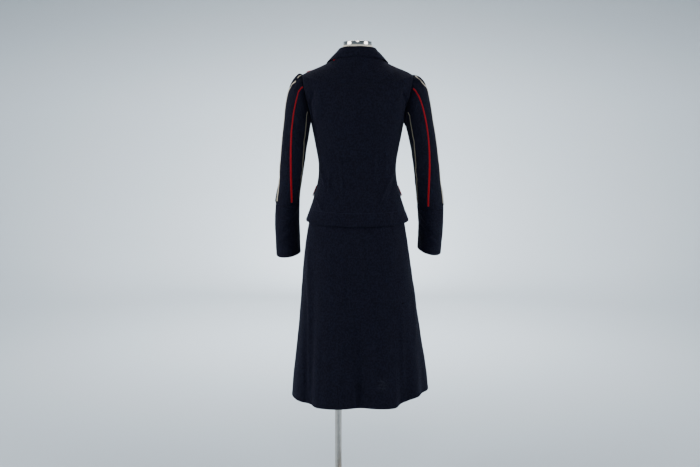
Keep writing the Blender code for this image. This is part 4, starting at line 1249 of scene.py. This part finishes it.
class PocketFlaps(bpy.types.Operator):
    """Make the pocket flaps next to the side seams"""

    bl_idname = "suit.pocket_flaps"
    bl_label = "Pocket flaps"

    def execute(self, context):
        for side, sign in SIDES.items():
            node = f"pocket_flap_{side}"
            grid = bring(node, [(0.7 * sign, -0.7, 0)], FLAP_GRID)
            sheet = fine_sheet(grid, *FLAP_CELLS)[0]
            sheet = raised(sheet, unevenness(sheet[..., 1] * 2, sheet[..., 2] * 2) * 0.6)
            piece = make_cloth(context, node, sheet)
            declare(node)
        return {"FINISHED"}


class Skirt(bpy.types.Operator):
    """Make the skirt's back and its front"""

    bl_idname = "suit.skirt"
    bl_label = "Skirt"

    def execute(self, context):
        cell = settings(context)[0].skirt_cell
        for node, facing, table, kind in (("skirt_back", (0, 1, 0), SKIRT_BACK_FOLDS, "skirt"),
                                          ("skirt_front", (0, -1, 0), SKIRT_FRONT_FOLDS, "plain")):
            piece = make_panel(context, node, facing, SKIRT_GRID, table, (cell, cell * 0.6), kind)
            declare(node)
        return {"FINISHED"}


class Waistband(bpy.types.Operator):
    """Make the skirt's waistband, under the jacket"""

    bl_idname = "suit.waistband"
    bl_label = "Skirt waistband"

    def execute(self, context):
        grid = bring("skirt_waistband", [(0, 1, 0)], BAND_GRID, tube=True)
        sheet = fine_sheet(grid, *BAND_CELLS, tube=True)[0]
        piece = make_cloth(context, "skirt_waistband", sheet, tube=True, wall=BAND_WALL)
        declare("skirt_waistband")
        return {"FINISHED"}


# Buttons, form, stand and studio


def select_only(*pieces):
    """Selects these pieces and nothing else, with the first one active."""
    bpy.ops.object.select_all(action="DESELECT")
    for piece in pieces:
        piece.select_set(True)
    if pieces:
        bpy.context.view_layer.objects.active = pieces[0]


def named(name):
    """The piece that was made last, with its name."""
    piece = bpy.context.object
    piece.name = name
    piece.data.name = name
    return piece


def pick_faces(piece, test):
    """Selects a piece's faces for whose normal the test holds, in edit mode."""
    bpy.ops.object.mode_set(mode="EDIT")
    bpy.ops.mesh.select_mode(type="FACE")
    shape = bmesh.from_edit_mesh(piece.data)
    for face in shape.faces:
        face.select_set(False)
    for face in shape.faces:
        face.select_set(test(face.normal))
    bmesh.update_edit_mesh(piece.data)


def sunk_top(piece, rim, slope, depth):
    """Sinks the middle of a round piece's top inside its rim."""
    pick_faces(piece, lambda normal: normal.z > 0.9)
    bpy.ops.mesh.inset(thickness=rim)
    bpy.ops.mesh.inset(thickness=slope)
    bpy.ops.transform.translate(value=(0, 0, -depth))


def place_applied(piece):
    bpy.context.view_layer.objects.active = piece
    if piece.mode != "OBJECT":
        bpy.ops.object.mode_set(mode="OBJECT")
    select_only(piece)
    bpy.ops.object.transform_apply(location=True, rotation=True, scale=True)


def rounded(piece, width, segments, angle=math.radians(50)):
    """Rounds a piece's hard edges."""
    place_applied(piece)
    edge = piece.modifiers.new("Rounded edges", "BEVEL")
    edge.width, edge.segments, edge.limit_method, edge.angle_limit = width, segments, "ANGLE", angle
    bpy.ops.object.modifier_apply(modifier=edge.name)
    bpy.ops.object.shade_smooth_by_angle(angle=math.radians(35))


def disc(name, radius, low, high, centre, steps):
    """A round piece that stands on its own axis."""
    select_only()
    bpy.ops.mesh.primitive_cylinder_add(
        vertices=steps, radius=radius, depth=high - low,
        location=(centre[0], centre[1], (low + high) / 2))
    return named(name)


class Buttons(bpy.types.Operator):
    """Make the five buttons: one is modelled, and copied to each place"""

    bl_idname = "suit.buttons"
    bl_label = "Buttons"

    def execute(self, context):
        colours = settings(context)[1]
        satin = finish_named("navy_button", button_finish, colours)
        thread = finish_named("button_thread", thread_finish, colours)
        model = button_model()
        model.data.materials.append(satin)
        ties = thread_model()
        for number in range(1, 6):
            node = f"button_{number}"
            turn, foot = button_place(node)
            placed = []
            for part, name in ((model, f"suit_{node}"), (ties, f"suit_{node}_thread")):
                mesh = part.data.copy()
                mesh.transform(turn)
                mesh.transform(Matrix.Translation(foot))
                piece = bpy.data.objects.new(name, mesh)
                context.scene.collection.objects.link(piece)
                placed.append(piece)
            dressed(placed[0], satin)
            dressed(placed[1], thread)
            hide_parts(node)
        for part in (model, ties):
            bpy.data.objects.remove(part)
        return {"FINISHED"}


def button_model():
    """A sewn-through button 21 mm across, with a raised rim and four holes."""
    button = disc("button_model", 0.0105, 0.0, 0.0040, (0, 0), 48)
    sunk_top(button, 0.0022, 0.0009, 0.0011)
    rounded(button, 0.0007, 3, math.radians(40))
    for x, y in ((1, 1), (1, -1), (-1, 1), (-1, -1)):
        hole = disc("hole", HOLE_RADIUS, -0.001, 0.006, (x * HOLE_OFF, y * HOLE_OFF), 16)
        cut = button.modifiers.new("Hole", "BOOLEAN")
        cut.operation, cut.object, cut.solver = "DIFFERENCE", hole, "EXACT"
        select_only(button)
        bpy.ops.object.modifier_apply(modifier=cut.name)
        bpy.data.objects.remove(hole)
    bpy.ops.object.shade_smooth_by_angle(angle=math.radians(35))
    return button


def thread_model():
    """Two crossed ties of thread over a button's holes."""
    select_only()
    parts = []
    for turn in (45, 135):
        bpy.ops.mesh.primitive_cylinder_add(vertices=10, radius=TIE_RADIUS, depth=0.0058,
                                            location=(0, 0, 0.0031),
                                            rotation=(math.pi / 2, 0, math.radians(turn)))
        parts.append(bpy.context.object)
    select_only(*parts)
    bpy.ops.object.join()
    ties = named("thread_model")
    rounded(ties, 0.0002, 2)
    return ties


def button_place(node):
    """The turn and the foot of a packed button, from its two flat faces."""
    shape = welded(node)
    groups = {}
    for face in shape.faces:
        key = tuple(round(part, 2) for part in face.normal)
        groups[key] = groups.get(key, 0) + face.calc_area()
    ways = sorted(groups, key=groups.get)[-2:]
    out = Vector(min(ways, key=lambda way: way[1])).normalized()
    heights = [point.co.dot(out) for point in shape.verts]
    middle = sum((point.co for point in shape.verts), Vector()) / len(shape.verts)
    foot = middle + out * (min(heights) - middle.dot(out))
    shape.free()
    return out.to_track_quat("Z", "Y").to_matrix().to_4x4(), foot


class DressForm(bpy.types.Operator):
    """Make the dress form in its jersey cover, and the bright cap on its neck"""

    bl_idname = "suit.dress_form"
    bl_label = "Dress form"

    def execute(self, context):
        colours = settings(context)[1]
        jersey = finish_named("cream_jersey", jersey_finish, colours)
        shape = welded("form_torso")
        mesh = bpy.data.meshes.new("suit_form_torso")
        shape.to_mesh(mesh)
        shape.free()
        form = bpy.data.objects.new("suit_form_torso", mesh)
        context.scene.collection.objects.link(form)
        place_applied(form)
        bpy.ops.object.mode_set(mode="EDIT")
        bpy.ops.mesh.select_all(action="SELECT")
        bpy.ops.mesh.tris_convert_to_quads(face_threshold=math.radians(60),
                                           shape_threshold=math.radians(60))
        bpy.ops.mesh.select_all(action="DESELECT")
        bpy.ops.object.mode_set(mode="OBJECT")
        smooth = form.modifiers.new("Smooth form", "SUBSURF")
        smooth.levels = smooth.render_levels = 2
        smooth.use_creases = True
        crease_ends(form)
        bpy.ops.object.modifier_apply(modifier=smooth.name)
        bpy.ops.object.shade_smooth_by_angle(angle=math.radians(40))
        dressed(form, jersey)
        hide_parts("form_torso")
        cap = turned_piece("form_neck_cap")
        polished = finish_named("polished_cap", metal_finish, colours.steel, 0.10, 0.04,
                                (1, 1, 0.2))
        dressed(cap, polished)
        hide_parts("form_neck_cap")
        return {"FINISHED"}


def crease_ends(form):
    """Keeps the form's top and bottom rims crisp when it is smoothed."""
    heights = [vert.co.z for vert in form.data.vertices]
    ends = (min(heights), max(heights))
    crease = form.data.attributes.new("crease_edge", "FLOAT", "EDGE")
    for edge in form.data.edges:
        levels = [form.data.vertices[index].co.z for index in edge.vertices]
        at_end = any(max(abs(level - end) for level in levels) < 0.001 for end in ends)
        crease.data[edge.index].value = CREASE if at_end else 0.0


def turned_piece(node):
    """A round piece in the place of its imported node, with rounded edges."""
    facets, sunk, width, steps = TURNED[node]
    low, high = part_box(node)
    piece = disc(f"suit_{node}", (high.x - low.x) / 2, low.z, high.z, middle_of(low, high), facets)
    if sunk:
        sunk_top(piece, *sunk)
    rounded(piece, width, steps)
    return piece


class Stand(bpy.types.Operator):
    """Make the stand: flange with its socket, pole, hub and round base"""

    bl_idname = "suit.stand"
    bl_label = "Stand"

    def execute(self, context):
        colours = settings(context)[1]
        pole = finish_named("brushed_pole", metal_finish, colours.steel, 0.30, 0.08, (1, 1, 0.03))
        plate = finish_named("brushed_plate", metal_finish, colours.steel, 0.34, 0.08, (1, 0.04, 1))
        for node, maker, metal in (("stand_flange", stand_flange, pole),
                                   ("stand_pole", turned_piece, pole),
                                   ("stand_hub", turned_piece, pole),
                                   ("stand_base", turned_piece, plate)):
            piece = dressed(maker(node), metal)
            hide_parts(node)
        return {"FINISHED"}


def middle_of(low, high):
    return ((low.x + high.x) / 2, (low.y + high.y) / 2)


def stand_flange(node):
    """The plate under the form, with the socket that holds the pole."""
    low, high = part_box(node)
    radius, drop = (high.x - low.x) / 2, high.z - PLATE - low.z
    flange = disc(f"suit_{node}", radius, high.z - PLATE, high.z, middle_of(low, high), 96)
    pick_faces(flange, lambda normal: normal.z < -0.9)
    bpy.ops.mesh.inset(thickness=radius - SOCKET)
    bpy.ops.mesh.extrude_region_move(TRANSFORM_OT_translate={"value": (0, 0, -drop)})
    bpy.ops.mesh.inset(thickness=SOCKET - BORE)
    bpy.ops.mesh.extrude_region_move(TRANSFORM_OT_translate={"value": (0, 0, drop)})
    rounded(flange, 0.0009, 3)
    return flange


class Stage(bpy.types.Operator):
    """Make the studio: a round sweep of pale paper, soft lights and the camera"""

    bl_idname = "suit.stage"
    bl_label = "Stage, lights and camera"

    def execute(self, context):
        stage = context.scene.suit_stage
        select_only()
        bpy.ops.mesh.primitive_circle_add(vertices=128, radius=stage.floor_radius, fill_type="NGON")
        sweep = named("studio_sweep")
        bpy.ops.object.mode_set(mode="EDIT")
        bpy.ops.mesh.select_all(action="SELECT")
        radius, height = stage.floor_radius, 0.0
        bpy.ops.mesh.select_mode(type="EDGE")
        shape = bmesh.from_edit_mesh(sweep.data)
        for edge in shape.edges:
            edge.select_set(edge.is_boundary)
        bmesh.update_edit_mesh(sweep.data)
        for next_radius, next_height in SWEEP_RINGS:
            bpy.ops.mesh.extrude_region_move(
                TRANSFORM_OT_translate={"value": (0, 0, next_height - height)})
            share = next_radius / radius
            bpy.ops.transform.resize(value=(share, share, 1), center_override=(0, 0, next_height))
            radius, height = next_radius, next_height
        bpy.ops.object.mode_set(mode="OBJECT")
        bpy.ops.object.shade_smooth()
        sweep.data.materials.append(finish_named("studio_paper", paper_finish, stage))
        studio_lights(context, stage)
        studio_camera(context, stage)
        return {"FINISHED"}


def studio_lights(context, stage):
    side, floor, glow = stage.side_power, stage.floor_power, stage.glow_power
    lights = (
        ("left_light", (3.6, 1.2, 1.7), (0.0, 0.0, 1.0), 2.4, side),
        ("right_light", (-3.6, 1.2, 1.7), (0.0, 0.0, 1.0), 2.4, side * stage.right_share),
        ("front_light", (0.0, 4.4, 3.2), (0.0, 0.0, 1.0), 2.0, stage.front_power),
        ("near_floor_light", (0.0, -2.6, 4.6), (0.0, -1.6, 0.0), 2.0, floor * NEAR_SHARE),
        ("far_floor_light", (0.0, -2.4, 2.6), (0.0, -4.0, 0.0), 1.0, floor * FAR_SHARE),
        ("glow_light", (0.0, -4.0, 1.3), (0.0, -7.0, 1.3), 0.8, glow * GLOW_SHARE),
        ("left_glow_light", (1.7, -3.8, 1.2), (2.6, -6.6, 1.0), 1.0, glow * SIDE_GLOW_SHARE),
        ("right_glow_light", (-1.7, -3.8, 1.2), (-2.6, -6.6, 1.0), 1.0, glow * SIDE_GLOW_SHARE),
    )
    for name, place, target, size, power in lights:
        data = bpy.data.lights.new(name, "AREA")
        data.shape, data.size, data.energy = "DISK", size, power
        light = bpy.data.objects.new(name, data)
        light.visible_camera = False
        light.location = place
        light.rotation_euler = (Vector(target) - Vector(place)).to_track_quat("-Z", "Y").to_euler()
        context.scene.collection.objects.link(light)
    world = bpy.data.worlds.new("studio_air")
    world.use_nodes = True
    air = world.node_tree.nodes["Background"].inputs
    air["Color"].default_value, air["Strength"].default_value = AIR_SHADE, stage.air
    context.scene.world = world


def studio_camera(context, stage):
    """The camera at the photo's angle: behind the suit, a little above its middle."""
    yaw, roll = math.radians(CAMERA_YAW), math.radians(CAMERA_ROLL)
    turn = Matrix.Rotation(yaw, 4, "Z") @ Matrix.Rotation(math.pi / 2 - stage.camera_pitch, 4, "X")
    turn = turn @ Matrix.Rotation(roll, 4, "Z")
    data = bpy.data.cameras.new("studio_camera")
    data.lens, data.sensor_width, data.clip_end = stage.lens, 36.0, 60.0
    camera = bpy.data.objects.new("studio_camera", data)
    camera.location = stage.camera_place
    camera.rotation_euler = turn.to_euler()
    context.scene.collection.objects.link(camera)
    context.scene.camera = camera


class SuitPanel(bpy.types.Panel):
    """Lists the steps that dress the form"""

    bl_idname = "SUIT_PT_steps"
    bl_label = "Knitted suit"
    bl_space_type = "VIEW_3D"
    bl_region_type = "UI"
    bl_category = "Suit"

    def draw(self, context):
        for group in (*settings(context), context.scene.suit_stage):
            for name in group.__annotations__:
                self.layout.prop(group, name)
        for step in STEPS:
            self.layout.operator(step.bl_idname)


STEPS = (JacketBack, JacketFronts, Collar, Sleeves, Braids, Pipings, PocketFlaps, Buttons,
         Waistband, Skirt, DressForm, Stand, Stage)
CLASSES = (ClothSizes, FinishColours, StageSizes, *STEPS, SuitPanel)


def register():
    for item in CLASSES:
        bpy.utils.register_class(item)
    bpy.types.Scene.suit_cloth = PointerProperty(type=ClothSizes)
    bpy.types.Scene.suit_colours = PointerProperty(type=FinishColours)
    bpy.types.Scene.suit_stage = PointerProperty(type=StageSizes)


def unregister():
    del bpy.types.Scene.suit_stage, bpy.types.Scene.suit_colours, bpy.types.Scene.suit_cloth
    for item in reversed(CLASSES):
        bpy.utils.unregister_class(item)


def main():
    register()
    for step in STEPS:
        group, name = step.bl_idname.split(".")
        getattr(getattr(bpy.ops, group), name)()


if __name__ == "__main__":
    main()
